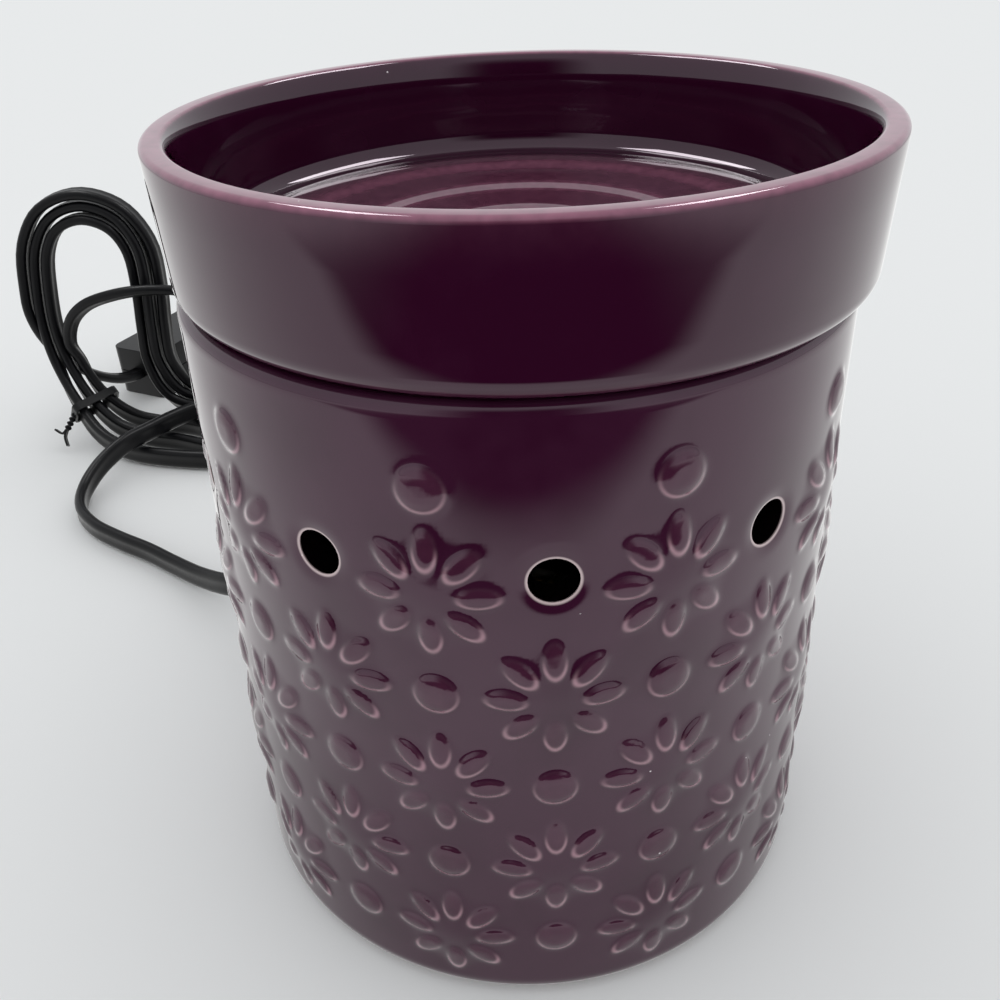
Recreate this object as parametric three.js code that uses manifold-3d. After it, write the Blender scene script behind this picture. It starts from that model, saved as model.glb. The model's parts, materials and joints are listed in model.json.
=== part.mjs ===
// Electric wax warmer: a glazed ceramic body with a loose wax dish on top, a small lamp inside
// that heats the dish, and a flat twin flex with an in-line switch and a plug.
// Millimetres, +Z up. The origin is on the table, on the axis of the ceramic body.
// The front of the warmer faces -Y.

import * as THREE from 'three';
import { mergeVertices } from 'three/addons/utils/BufferGeometryUtils.js';
import Module from 'manifold-3d';

const wasm = await Module();
wasm.setup();

// Shared fits
const seatGap = 0.3; // between pieces that rest on or in each other
const holeClearance = 0.4; // round a shank or neck that passes through a hole
const roundSides = 48; // sides of the large turned pieces
const bodySides = 40; // sides of the ceramic body, two for each column of its relief
const globeSides = 28; // sides of the bulb glass
const smallSides = 18; // sides of the small turned pieces

// Ceramic body
const bodyHeight = 126; // table to the top rim of the body
const bodyTopRadius = 58;
const bodyFlare = 2; // how much wider the body is at its foot
const bodyWall = 5;
const bodyFootRound = 4;
const bodyTopRound = 2;
const footLift = 0.7; // the rubber feet hold the ceramic this far off the table
const ledgeReach = 7; // the inner ledge that the base is clamped to
const ledgeThickness = 4;
const ledgeUnderside = 4.5;
const ventCount = 10;
const ventDiameter = 8;
const ventSides = 12;
const ventHeight = 98;
const ventFirstAngle = -85.6; // degrees, seen from above, from +X
const cordAngle = 144; // where the flex leaves the body
const cordExitHeight = 15;

// Relief on the body: rows of flowers and dots, in line with the vents and halfway between them
const reliefRowGap = 19.33;
const flowerDrop = 2.5; // of the top row of flowers below the vents
const topDotRise = 14.85; // of the top row of dots above the vents
const reliefSink = 0.4; // how deep the foot of each shape goes into the wall
const petalCount = 8;
const flowerRise = 1.45; // of the middle of a flower
const petalCrest = 6.6; // from the middle of the flower to the crest of a petal
const petalCrestRise = 0.95;
const petalReach = 11.2;
const notchReach = 7.2; // the foot of the flower between two petals
const dotRise = 1.15;
const dotCrest = 2.5;
const dotCrestRise = 0.85;
const dotReach = 4.1;
const dotSides = 6;

// Wax dish
const dishHeight = 24.3; // underside of the rim to the lip
const dishOverhang = 1.2; // of its foot beyond the rim of the body
const dishFlare = 0.8; // how much wider its lip is than its foot
const dishWall = 4.8;
const lipRound = 1; // outer edge of the lip
const lipFlat = 2; // width of its level top
const lipSlope = 5.5; // how far its inner round reaches down the wall
const dishCornerRound = 3.5;
const dishFloorThickness = 5;
const dishCove = 4; // inside radius where the wall meets the floor
const dishStepRadii = [17, 30, 43]; // the floor goes down in rounded steps towards its middle
const dishStepDrop = 0.8;
const dishStepWidth = 3;
const spigotHeight = 5; // ring under the dish that keeps it on the body
const spigotWall = 4;
const spigotClearance = 2.4;
const dishShift = 1.4; // the loose dish sits this far off the axis, within that clearance

// Base plate, rubber feet and clamp
const plateThickness = 2;
const plateClearance = 0.6;
const footCount = 4;
const footRadius = 6;
const footInset = 14.3; // from the edge of the base plate to the middle of a foot
const footFirstAngle = 45;
const footNeckRadius = 2.5;
const footHeadRadius = 4;
const footHeadHeight = 1.6;
const clampWidth = 26;
const clampThickness = 2;
const clampOverlap = 4; // of the clamp bar on the ledge at each end
const clampScrewInset = 7.9; // from the edge of the ledge
const clampScrewRadius = 1.8;
const clampHeadRadius = 3.6;
const clampHeadHeight = 1.4;
const clampNutRadius = 3.9;
const clampNutHeight = 3;

// Lamp holder
const nippleRadius = 5;
const nippleBore = 3.4;
const nippleGrip = 8; // how far the nipple reaches into the holder
const nippleTail = 3.8; // how far it reaches below the clamp bar
const nippleNutRadius = 8;
const nippleNutHeight = 2.6;
const holderRadius = 12;
const holderHeight = 38;
const holderBoreRadius = 8.2;
const holderBoreDepth = 25;
const shellRadius = 7.9;
const shellThickness = 1.1;
const contactRadius = 3;
const contactHeight = 1.5;
const terminalHeight = 6; // of the terminal screws above the foot of the holder
const terminalRadius = 2.6;
const terminalLength = 2.4;
const terminalSpread = 34; // degrees each side of the flex

// Bulb, candelabra cap
const bulbCapRadius = 6.2;
const bulbCapThickness = 0.6;
const bulbCapLength = 20;
const bulbTipRadius = 2;
const bulbTipHeight = 1.5;
const bulbInsulatorHeight = 3;
const bulbNeckLength = 9; // of the glass inside the cap
const bulbGlobeRadius = 25;
const bulbGlobeRise = 34; // from the rim of the cap to the middle of the globe
const bulbGlassThickness = 0.9;
const bulbStemRadius = 2;
const bulbStemLength = 30;
const filamentRadius = 0.35;
const filamentSpan = 9;
const filamentRise = 11;

// Flat twin flex
const flexWidth = 7.2;
const flexThickness = 3.6;
const tableGap = 0.2; // below the flex and the pieces on it
const leadRadius = 1.2;
const bushFlangeRadius = 8;
const bushFlangeThickness = 2.2;
const bushNeckRadius = 5.2;
const bushSleeveRadius = 6;
const bushTipRadius = 4.8;
const bushSleeveLength = 22;

// In-line switch
const switchLength = 58;
const switchWidth = 24;
const switchHeight = 20;
const switchRound = 4;
const switchNearEnd = [-158, 208.5]; // the end that the hank comes out of
const switchYaw = 66; // degrees, from +X to the far end
const wheelRadius = 9.5;
const wheelThickness = 6;
const wheelProud = 2.6; // how far the wheel stands out of the side of the case
const wheelAxleRadius = 1.6;
const switchScrewPlace = 21;
const switchScrewRadius = 1.5;
const switchScrewHeadRadius = 2.8;
const switchScrewHeadHeight = 1.8;

// Plug
const plugLength = 30;
const plugWidth = 24;
const plugHeight = 17;
const plugRound = 4;
const plugTailWidth = 12; // where the flex enters
const plugTailHeight = 8.5;
const plugTaper = 15; // length over which it grows to its full width and height
const plugSteps = 4; // along its length
const plugEntry = [-76, 216]; // where the flex enters the plug
const plugYaw = 95; // degrees, from +X to the blades
const bladeSpacing = 12.7;
const bladeLength = 17;
const bladeWidth = 6.4;
const bladeThickness = 1.5;
const bladeRoot = 5; // how deep the blades are moulded in

// Hank of flex
const hankStart = 0.07; // share of a loop, counted from the tie, where the winding begins
const hankEnd = 3; // loops, counted the same way, where the winding ends
const hankTie = 0.955; // place of the tie on each loop
const hankStep = 4.4; // from strand to strand where they lie close
const hankTopMiddle = [-156, 66]; // X and Z of the round at the top of the upright loops
const hankTopRadius = 18;
const hankFoldMiddle = [-96, 169]; // X and Y of the fold on the table
const hankFoldRadius = 20;
const hankSway = 3; // how far the strands wander sideways
const hankSteps = 36; // along each loop
const leadReach = 20; // how far the flex keeps its heading from the switch into the winding
const archReach = 12; // the same at both ends of the arch that leads to the plug
const archSteps = 24;
const tieGap = 0.9; // between the tie and the strands that it holds
const tieThickness = 0.9;
const tieWidth = 3;

const degrees = (angle) => (angle * Math.PI) / 180;
const polar = (radius, angle, z) =>
  new THREE.Vector3(radius * Math.cos(degrees(angle)), radius * Math.sin(degrees(angle)), z);

// Closed meshes

function weld(geometry) {
  for (const name of Object.keys(geometry.attributes)) {
    if (name !== 'position') geometry.deleteAttribute(name);
  }
  const merged = mergeVertices(geometry, 1e-4);
  const old = merged.index.array;
  const kept = [];
  for (let i = 0; i < old.length; i += 3) {
    const [a, b, c] = [old[i], old[i + 1], old[i + 2]];
    if (a !== b && b !== c && c !== a) kept.push(a, b, c);
  }
  merged.setIndex(kept);
  return merged;
}

function toSolid(geometry) {
  const welded = weld(geometry);
  return new wasm.Manifold(
    new wasm.Mesh({
      numProp: 3,
      vertProperties: new Float32Array(welded.attributes.position.array),
      triVerts: new Uint32Array(welded.index.array),
    }),
  );
}

function fromSolid(solid) {
  const mesh = solid.getMesh();
  const geometry = new THREE.BufferGeometry();
  geometry.setAttribute('position', new THREE.Float32BufferAttribute(mesh.vertProperties, 3));
  geometry.setIndex(Array.from(mesh.triVerts));
  return geometry;
}

function cut(geometry, tools) {
  let solid = toSolid(geometry);
  for (const tool of tools) solid = solid.subtract(toSolid(tool));
  return fromSolid(solid);
}

function join(geometries) {
  let solid = toSolid(geometries[0]);
  for (const other of geometries.slice(1)) solid = solid.add(toSolid(other));
  return fromSolid(solid);
}

// Simple shapes, all standing on Z

function turned(profile, sides) {
  const points = profile.map(([radius, height]) => new THREE.Vector2(radius, height));
  points.push(points[0].clone());
  return weld(new THREE.LatheGeometry(points, sides).rotateX(Math.PI / 2));
}

function rod(radius, bottom, top, sides = smallSides) {
  return turned([[0, bottom], [radius, bottom], [radius, top], [0, top]], sides);
}

function tube(outer, inner, bottom, top, sides = smallSides) {
  return turned([[inner, bottom], [outer, bottom], [outer, top], [inner, top]], sides);
}

function hexNut(radius, bore, bottom, top) {
  return cut(rod(radius, bottom, top, 6), [rod(bore, bottom - bore, top + bore)]);
}

function arc(middleRadius, middleHeight, radius, from, to, steps) {
  const points = [];
  for (let i = 0; i <= steps; i += 1) {
    const angle = degrees(from + ((to - from) * i) / steps);
    points.push([middleRadius + radius * Math.cos(angle), middleHeight + radius * Math.sin(angle)]);
  }
  return points;
}

function roundedBox(length, width, bottom, top, round, steps = 1) {
  const shape = new THREE.Shape();
  const x = length / 2 - round;
  const y = width / 2 - round;
  shape.absarc(x, y, round, 0, Math.PI / 2);
  shape.absarc(-x, y, round, Math.PI / 2, Math.PI);
  shape.absarc(-x, -y, round, Math.PI, Math.PI * 1.5);
  shape.absarc(x, -y, round, Math.PI * 1.5, Math.PI * 2);
  const settings = { depth: top - bottom, steps, bevelEnabled: false, curveSegments: 5 };
  return weld(new THREE.ExtrudeGeometry(shape, settings).translate(0, 0, bottom));
}

function along(geometry, from, direction) {
  const turn = new THREE.Quaternion().setFromUnitVectors(new THREE.Vector3(0, 0, 1), direction);
  return geometry.applyQuaternion(turn).translate(from.x, from.y, from.z);
}

function wire(points, radius, steps, sides) {
  const path = new THREE.CatmullRomCurve3(points);
  const shape = new THREE.Shape();
  for (let i = 0; i < sides; i += 1) {
    const angle = (i / sides) * 2 * Math.PI;
    const [x, y] = [radius * Math.cos(angle), radius * Math.sin(angle)];
    if (i === 0) shape.moveTo(x, y);
    else shape.lineTo(x, y);
  }
  return weld(new THREE.ExtrudeGeometry(shape, { steps, extrudePath: path, bevelEnabled: false }));
}

// Materials

const finish = (color, roughness, metalness = 0) =>
  new THREE.MeshStandardMaterial({ color, roughness, metalness });
const glaze = finish(0x55384b, 0.12);
const blackPlastic = finish(0x141414, 0.45);
const blackRubber = finish(0x1b1b1b, 0.8);
const brass = finish(0xb08d4a, 0.35, 1);
const steel = finish(0xa8a9a6, 0.35, 1);
const porcelain = finish(0xd9d4c8, 0.4);
const clearGlass = finish(0xeef2f2, 0.05);
const tungsten = finish(0x5a5754, 0.5, 1);
const basePaint = finish(0x2b2528, 0.55);

const warmer = new THREE.Group();

function add(name, geometry, material, parent = warmer) {
  const mesh = new THREE.Mesh(geometry, material);
  mesh.name = name;
  parent.add(mesh);
  return mesh;
}

// Ceramic body

const bodyFootRadius = bodyTopRadius + bodyFlare;
const bodyOuter = (z) => bodyFootRadius + ((bodyTopRadius - bodyFootRadius) * z) / bodyHeight;
const bodyInner = (z) => bodyOuter(z) - bodyWall;
const ledgeTop = ledgeUnderside + ledgeThickness;
const ledgeRadius = bodyInner(ledgeTop) - ledgeReach;
const bodyMouthRadius = bodyInner(bodyHeight);
const wallOutside = bodyOuter(cordExitHeight);
const wallInside = bodyInner(cordExitHeight);
const footMiddle = footLift + bodyFootRound;
const topMiddle = bodyHeight - bodyTopRound;

// A raised shape on the wall: its middle, a ring of crest points and a ring of foot points, each
// ring given as how far its points reach from the middle
function raised(angle, height, middleRise, crestReaches, crestRise, footReaches) {
  const onWall = (reach, turn, rise) => {
    const z = height + reach * Math.sin(turn);
    const swing = (reach * Math.cos(turn)) / bodyOuter(z);
    return polar(bodyOuter(z) + rise, angle + THREE.MathUtils.radToDeg(swing), z);
  };
  const ring = (reaches, rise) =>
    reaches.map((reach, i) => onWall(reach, (2 * Math.PI * i) / reaches.length, rise));
  const crest = ring(crestReaches, crestRise);
  const foot = ring(footReaches, -reliefSink);
  const corners = [onWall(0, 0, middleRise), onWall(0, 0, -reliefSink), ...crest, ...foot];
  const crestAt = (i) => 2 + (i % crest.length);
  const footAt = (i) => 2 + crest.length + (i % foot.length);
  const faces = [];
  crest.forEach((_, i) => faces.push(0, crestAt(i), crestAt(i + 1)));
  foot.forEach((_, i) => faces.push(1, footAt(i + 1), footAt(i)));
  let crestsDone = 0;
  let feetDone = 0;
  while (crestsDone < crest.length || feetDone < foot.length) {
    const footNext = (feetDone + 1) / foot.length < (crestsDone + 1) / crest.length;
    const third = footNext ? footAt(feetDone + 1) : crestAt(crestsDone + 1);
    faces.push(crestAt(crestsDone), footAt(feetDone), third);
    if (footNext) feetDone += 1;
    else crestsDone += 1;
  }
  return new THREE.BufferGeometry().setFromPoints(corners).setIndex(faces);
}

function bodyRelief() {
  const columns = 2 * ventCount;
  const angleOf = (column) => ventFirstAngle + (360 * column) / columns;
  const crests = Array(petalCount).fill(petalCrest);
  const tips = crests.flatMap(() => [petalReach, notchReach]);
  const flower = (column, z) => raised(angleOf(column), z, flowerRise, crests, petalCrestRise, tips);
  const dotTop = Array(dotSides).fill(dotCrest);
  const dotFoot = Array(dotSides).fill(dotReach);
  const dot = (column, z) => raised(angleOf(column), z, dotRise, dotTop, dotCrestRise, dotFoot);
  const shapes = [];
  const topDots = ventHeight + topDotRise;
  for (let column = 1; column < columns && topDots + dotReach < topMiddle; column += 2) {
    shapes.push(dot(column, topDots));
  }
  let row = 0;
  for (let z = ventHeight - flowerDrop; z - petalReach > footMiddle; z -= reliefRowGap) {
    for (let column = 0; column < columns; column += 1) {
      if ((column + row) % 2 === 1) shapes.push(flower(column, z));
      else if (row > 0) shapes.push(dot(column, z));
    }
    row += 1;
  }
  return shapes;
}

function bodyShell() {
  const shell = turned(
    [
      [bodyInner(footLift), footLift],
      ...arc(bodyOuter(footMiddle) - bodyFootRound, footMiddle, bodyFootRound, -90, 0, 3),
      ...arc(bodyOuter(topMiddle) - bodyTopRound, topMiddle, bodyTopRound, 0, 90, 2),
      [bodyMouthRadius, bodyHeight],
      [bodyInner(ledgeTop), ledgeTop],
      [ledgeRadius, ledgeTop],
      [ledgeRadius, ledgeUnderside],
      [bodyInner(ledgeUnderside), ledgeUnderside],
    ],
    bodySides,
  );
  shell.rotateZ(degrees(ventFirstAngle));
  const reach = bodyFootRadius * 1.5;
  const drills = [];
  for (let i = 0; i < ventCount; i += 1) {
    const angle = ventFirstAngle + (360 * i) / ventCount;
    const drill = rod(ventDiameter / 2, bodyTopRadius / 2, reach, ventSides);
    drills.push(along(drill, polar(0, 0, ventHeight), polar(1, angle, 0)));
  }
  const cordDrill = rod(bushNeckRadius + holeClearance, bodyTopRadius / 2, reach);
  const bushSeat = rod(bushFlangeRadius + holeClearance, wallOutside + seatGap / 2, reach);
  for (const drill of [cordDrill, bushSeat]) {
    drills.push(along(drill, polar(0, 0, cordExitHeight), polar(1, cordAngle, 0)));
  }
  return cut(join([shell, ...bodyRelief()]), drills);
}
add('body_shell', bodyShell(), glaze);

// Wax dish: rests on the rim of the body, its spigot inside the mouth

const dishUnderside = bodyHeight + seatGap;
const dishLip = dishUnderside + dishHeight;
const dishFloor = dishUnderside + dishFloorThickness;
const dishFootRadius = bodyTopRadius + dishOverhang;
const dishLipRadius = dishFootRadius + dishFlare;
const spigotRadius = bodyMouthRadius - spigotClearance;

function waxDish() {
  const wallAt = (z) => dishFootRadius + (dishFlare * (z - dishUnderside)) / dishHeight;
  const innerFoot = wallAt(dishFloor + dishCove) - dishWall;
  const lipInner = dishLipRadius - lipRound - lipFlat;
  const slopeFoot = dishLip - lipSlope;
  const slopeReach = lipInner - (wallAt(slopeFoot) - dishWall);
  const slope = arc(0, 0, 1, 90, 180, 4);
  const cornerMiddle = dishUnderside + dishCornerRound;
  const steps = [];
  let height = dishFloor - dishStepRadii.length * dishStepDrop;
  for (const radius of dishStepRadii) {
    steps.unshift([radius - dishStepWidth / 2, height]);
    height += dishStepDrop;
    steps.unshift([radius + dishStepWidth / 2, height]);
  }
  const middleHeight = dishFloor - dishStepRadii.length * dishStepDrop;
  return turned(
    [
      [0, dishUnderside],
      [spigotRadius - spigotWall, dishUnderside],
      [spigotRadius - spigotWall, dishUnderside - spigotHeight],
      [spigotRadius, dishUnderside - spigotHeight],
      [spigotRadius, dishUnderside],
      ...arc(wallAt(cornerMiddle) - dishCornerRound, cornerMiddle, dishCornerRound, -90, 0, 3),
      ...arc(dishLipRadius - lipRound, dishLip - lipRound, lipRound, 0, 90, 2),
      ...slope.map(([across, rise]) => [lipInner + across * slopeReach, slopeFoot + rise * lipSlope]),
      ...arc(innerFoot - dishCove, dishFloor + dishCove, dishCove, 0, -90, 3),
      ...steps,
      [0, middleHeight],
    ],
    roundSides,
  ).translate(dishShift, 0, 0);
}
add('wax_dish', waxDish(), glaze);

// Base plate under the ledge, with rubber feet pushed through it

const plateTop = ledgeUnderside - seatGap;
const plateUnderside = plateTop - plateThickness;
const plateRadius = bodyInner(plateTop) - plateClearance;
const footCircle = plateRadius - footInset;
const clampScrewPlace = ledgeRadius - clampScrewInset;
const footAngles = Array.from({ length: footCount }, (_, i) => footFirstAngle + (360 * i) / footCount);
const clampSides = [['left', 180], ['right', 0]];

function basePlate() {
  const holes = footAngles.map((angle) => {
    const place = polar(footCircle, angle, 0);
    return rod(footNeckRadius + holeClearance, 0, ledgeTop).translate(place.x, place.y, 0);
  });
  for (const [, angle] of clampSides) {
    const place = polar(clampScrewPlace, angle, 0);
    holes.push(rod(clampScrewRadius + holeClearance, 0, ledgeTop).translate(place.x, place.y, 0));
  }
  return cut(rod(plateRadius, plateUnderside, plateTop, roundSides), holes);
}
add('base_plate', basePlate(), basePaint);

footAngles.forEach((angle, i) => {
  const place = polar(footCircle, angle, 0);
  const padTop = plateUnderside - seatGap;
  const headFoot = plateTop + seatGap;
  const foot = turned(
    [
      [0, 0],
      [footRadius, 0],
      [footRadius, padTop],
      [footNeckRadius, padTop],
      [footNeckRadius, headFoot],
      [footHeadRadius, headFoot],
      [footNeckRadius, headFoot + footHeadHeight],
      [0, headFoot + footHeadHeight],
    ],
    smallSides,
  );
  add(`rubber_foot_${i + 1}`, foot.translate(place.x, place.y, 0), blackRubber);
});

// Clamp bar on the ledge: two screws pull the base plate up against it

const clampUnderside = ledgeTop + seatGap;
const clampTop = clampUnderside + clampThickness;
const clampLength = 2 * (ledgeRadius + clampOverlap);
const clampScrewTop = clampTop + seatGap + clampNutHeight;

function clampBar() {
  const bar = roundedBox(clampLength, clampWidth, clampUnderside, clampTop, clampWidth / 3);
  const holes = clampSides.map(([, angle]) => {
    const place = polar(clampScrewPlace, angle, 0);
    return rod(clampScrewRadius + holeClearance, 0, clampScrewTop).translate(place.x, place.y, 0);
  });
  holes.push(rod(nippleRadius + holeClearance, 0, clampScrewTop));
  const rim = tube(bodyFootRadius * 2, bodyInner(clampTop) - plateClearance, 0, clampScrewTop, roundSides);
  return cut(bar, [...holes, rim]);
}
add('clamp_bar', clampBar(), steel);

for (const [side, angle] of clampSides) {
  const place = polar(clampScrewPlace, angle, 0);
  const headTop = plateUnderside - seatGap;
  const screw = turned(
    [
      [0, headTop - clampHeadHeight],
      [clampHeadRadius * 0.75, headTop - clampHeadHeight],
      [clampHeadRadius, headTop],
      [clampScrewRadius, headTop],
      [clampScrewRadius, clampScrewTop],
      [0, clampScrewTop],
    ],
    smallSides,
  );
  add(`clamp_screw_${side}`, screw.translate(place.x, place.y, 0), steel);
  const nut = hexNut(clampNutRadius, clampScrewRadius + holeClearance, clampTop + seatGap, clampScrewTop);
  add(`clamp_nut_${side}`, nut.translate(place.x, place.y, 0), steel);
}

// Lamp holder on a threaded nipple through the clamp bar

const holderFoot = clampTop + seatGap;
const holderTop = holderFoot + holderHeight;
const boreFoot = holderTop - holderBoreDepth;
const shellInner = shellRadius - shellThickness;
const cordDirection = polar(1, cordAngle, 0);
const terminals = [['live', cordAngle - terminalSpread], ['neutral', cordAngle + terminalSpread]];

function lampHolder() {
  const holder = turned(
    [
      [nippleRadius + holeClearance, holderFoot],
      [holderRadius, holderFoot],
      [holderRadius, holderTop],
      [holderBoreRadius, holderTop],
      [holderBoreRadius, boreFoot],
      [0, boreFoot],
      [0, holderFoot + nippleGrip],
      [nippleRadius + holeClearance, holderFoot + nippleGrip],
    ],
    smallSides,
  );
  const pockets = terminals.map(([, angle]) => {
    const pocket = rod(terminalRadius + holeClearance, holderRadius - terminalLength, holderRadius * 2);
    return along(pocket, polar(0, 0, holderFoot + terminalHeight), polar(1, angle, 0));
  });
  return cut(holder, pockets);
}
add('lamp_holder', lampHolder(), porcelain);

const nippleFoot = clampUnderside - nippleTail;
const nippleTop = holderFoot + nippleGrip - seatGap;
add('lamp_nipple', tube(nippleRadius, nippleBore, nippleFoot, nippleTop), brass);
const nippleNutTop = clampUnderside - seatGap;
const nippleNutFoot = nippleNutTop - nippleNutHeight;
const nippleNut = hexNut(nippleNutRadius, nippleRadius + holeClearance, nippleNutFoot, nippleNutTop);
add('nipple_nut', nippleNut, steel);

const shellFoot = boreFoot + seatGap;
add('holder_shell', tube(shellRadius, shellInner, shellFoot, holderTop - seatGap), brass);
const contactFoot = boreFoot + seatGap;
const contactTop = contactFoot + contactHeight;
add('holder_contact', rod(contactRadius, contactFoot, contactTop), brass);

for (const [name, angle] of terminals) {
  const headEnd = holderRadius + terminalLength / 4;
  const screw = rod(terminalRadius, holderRadius - terminalLength + seatGap, headEnd);
  const place = polar(0, 0, holderFoot + terminalHeight);
  add(`terminal_screw_${name}`, along(screw, place, polar(1, angle, 0)), brass);
}

// Bulb: cap with its insulator and tip, glass globe, stem and filament

const tipFoot = contactTop + seatGap;
const tipTop = tipFoot + bulbTipHeight;
const insulatorFoot = tipTop + seatGap;
const insulatorTop = insulatorFoot + bulbInsulatorHeight;
const capFoot = insulatorFoot;
const capTop = capFoot + bulbCapLength;
const capBore = bulbCapRadius - bulbCapThickness;
const neckRadius = capBore - seatGap;
const neckFoot = capTop - bulbNeckLength;
const globeMiddle = capTop + bulbGlobeRise;

add('bulb_tip', rod(bulbTipRadius, tipFoot, tipTop), steel);
add(
  'bulb_insulator',
  turned(
    [
      [0, insulatorFoot],
      [bulbTipRadius, insulatorFoot],
      [capBore - seatGap, insulatorTop - bulbInsulatorHeight / 3],
      [capBore - seatGap, insulatorTop],
      [0, insulatorTop],
    ],
    smallSides,
  ),
  blackPlastic,
);
add('bulb_cap', tube(bulbCapRadius, capBore, capFoot + bulbInsulatorHeight / 2, capTop), brass);

function bulbGlass() {
  const inner = bulbGlobeRadius - bulbGlassThickness;
  const throat = neckRadius - bulbGlassThickness;
  const start = -70;
  const outerArc = arc(0, globeMiddle, bulbGlobeRadius, start, 90, 9);
  const innerArc = arc(0, globeMiddle, inner, 90, start, 9);
  outerArc[outerArc.length - 1][0] = 0;
  innerArc[0][0] = 0;
  return turned(
    [
      [throat, neckFoot],
      [neckRadius, neckFoot],
      [neckRadius, capTop + seatGap],
      ...outerArc,
      ...innerArc,
      [throat, capTop + seatGap + bulbGlassThickness],
    ],
    globeSides,
  );
}
add('bulb_glass', bulbGlass(), clearGlass);

const stemFoot = neckFoot + seatGap;
const stemTop = stemFoot + bulbStemLength;
const throatRadius = neckRadius - bulbGlassThickness - seatGap;
const stem = turned(
  [
    [0, stemFoot],
    [throatRadius, stemFoot],
    [throatRadius, stemFoot + bulbNeckLength / 4],
    [bulbStemRadius, stemFoot + bulbNeckLength],
    [bulbStemRadius, stemTop],
    [0, stemTop],
  ],
  smallSides,
);
add('bulb_stem', stem, clearGlass);

const filamentFoot = stemTop + seatGap + filamentRadius;
const filamentPoints = [
  [-bulbStemRadius / 2, filamentFoot],
  [-filamentSpan, filamentFoot + filamentRise * 0.6],
  [-filamentSpan / 2, filamentFoot + filamentRise],
  [filamentSpan / 2, filamentFoot + filamentRise],
  [filamentSpan, filamentFoot + filamentRise * 0.6],
  [bulbStemRadius / 2, filamentFoot],
].map(([x, z]) => new THREE.Vector3(x, 0, z));
add('bulb_filament', wire(filamentPoints, filamentRadius, 24, 6), tungsten);

// Flex bush through the wall, and the two leads from it to the terminals

const flangeFoot = wallOutside + seatGap;
const bushEnd = flangeFoot + bushFlangeThickness + bushSleeveLength;
const wallSag = (radius) => wallInside - Math.sqrt(wallInside ** 2 - radius ** 2);
const innerFlangeTop = wallInside - wallSag(bushFlangeRadius) - seatGap;
const innerFlangeFoot = innerFlangeTop - bushFlangeThickness;
const bush = turned(
  [
    [0, innerFlangeFoot],
    [bushFlangeRadius * 0.75, innerFlangeFoot],
    [bushFlangeRadius * 0.75, innerFlangeTop],
    [bushNeckRadius, innerFlangeTop],
    [bushNeckRadius, flangeFoot],
    [bushFlangeRadius, flangeFoot],
    [bushFlangeRadius, flangeFoot + bushFlangeThickness],
    [bushSleeveRadius, flangeFoot + bushFlangeThickness],
    [bushTipRadius, bushEnd],
    [0, bushEnd],
  ],
  smallSides,
);
const exitPlace = polar(0, 0, cordExitHeight);
add('cord_bush', along(bush, exitPlace, cordDirection), blackRubber);

const leadStart = innerFlangeFoot - seatGap;
const leadApart = leadRadius + seatGap;
const terminalEnd = holderRadius + terminalLength / 4 + seatGap + leadRadius;
const across = new THREE.Vector3(-cordDirection.y, cordDirection.x, 0);
terminals.forEach(([name, angle], i) => {
  const sideways = across.clone().multiplyScalar(leadApart * (i === 0 ? -1 : 1));
  const start = polar(leadStart, cordAngle, cordExitHeight).add(sideways);
  const next = polar(leadStart - bushFlangeRadius, cordAngle, cordExitHeight).add(sideways);
  const end = polar(terminalEnd, angle, holderFoot + terminalHeight);
  const before = polar(terminalEnd + holderRadius / 2, angle, holderFoot + terminalHeight);
  add(`lead_${name}`, wire([start, next, before, end], leadRadius, 20, 8), blackPlastic);
});

// In-line switch: two half cases with a thumb wheel between them on an axle

const switchAxis = polar(1, switchYaw, 0);
const switchMiddle = new THREE.Vector3(...switchNearEnd, switchHeight / 2 + tableGap);
switchMiddle.addScaledVector(switchAxis, switchLength / 2);
const switchPlace = new THREE.Group();
switchPlace.position.copy(switchMiddle);
switchPlace.rotation.z = degrees(switchYaw);
warmer.add(switchPlace);

const wheelPlace = switchWidth / 2 + wheelProud - wheelRadius;
const pocketRadius = wheelRadius + holeClearance;
const pocketHalf = wheelThickness / 2 + seatGap;
const screwSides = [['left', -switchScrewPlace], ['right', switchScrewPlace]];
const screwHeadFoot = switchHeight / 2 - switchScrewHeadHeight;

function switchHalf(bottom, top, extraCuts) {
  const shell = roundedBox(switchLength, switchWidth, bottom, top, switchRound);
  const pocket = rod(pocketRadius, -pocketHalf, pocketHalf, 32).translate(0, wheelPlace, 0);
  return cut(shell, [pocket, ...extraCuts]);
}

const screwHoles = screwSides.flatMap(([, x]) => [
  rod(switchScrewRadius + holeClearance, -switchHeight / 4 - seatGap, switchHeight).translate(x, 0, 0),
  rod(switchScrewHeadRadius + holeClearance, screwHeadFoot - seatGap, switchHeight).translate(x, 0, 0),
]);
const axleEnd = switchHeight / 4;
const axleHole = rod(wheelAxleRadius + holeClearance, 0, axleEnd + seatGap).translate(0, wheelPlace, 0);
const lowerCase = switchHalf(-switchHeight / 2, -seatGap / 2, screwHoles);
const axle = rod(wheelAxleRadius, -axleEnd, axleEnd).translate(0, wheelPlace, 0);
add('switch_case_lower', join([lowerCase, axle]), blackPlastic, switchPlace);
const upperCase = switchHalf(seatGap / 2, switchHeight / 2, [...screwHoles, axleHole]);
add('switch_case_upper', upperCase, blackPlastic, switchPlace);
const wheel = tube(wheelRadius, wheelAxleRadius + holeClearance, -wheelThickness / 2, wheelThickness / 2, 32);
add('switch_wheel', wheel.translate(0, wheelPlace, 0), blackPlastic, switchPlace);
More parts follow.
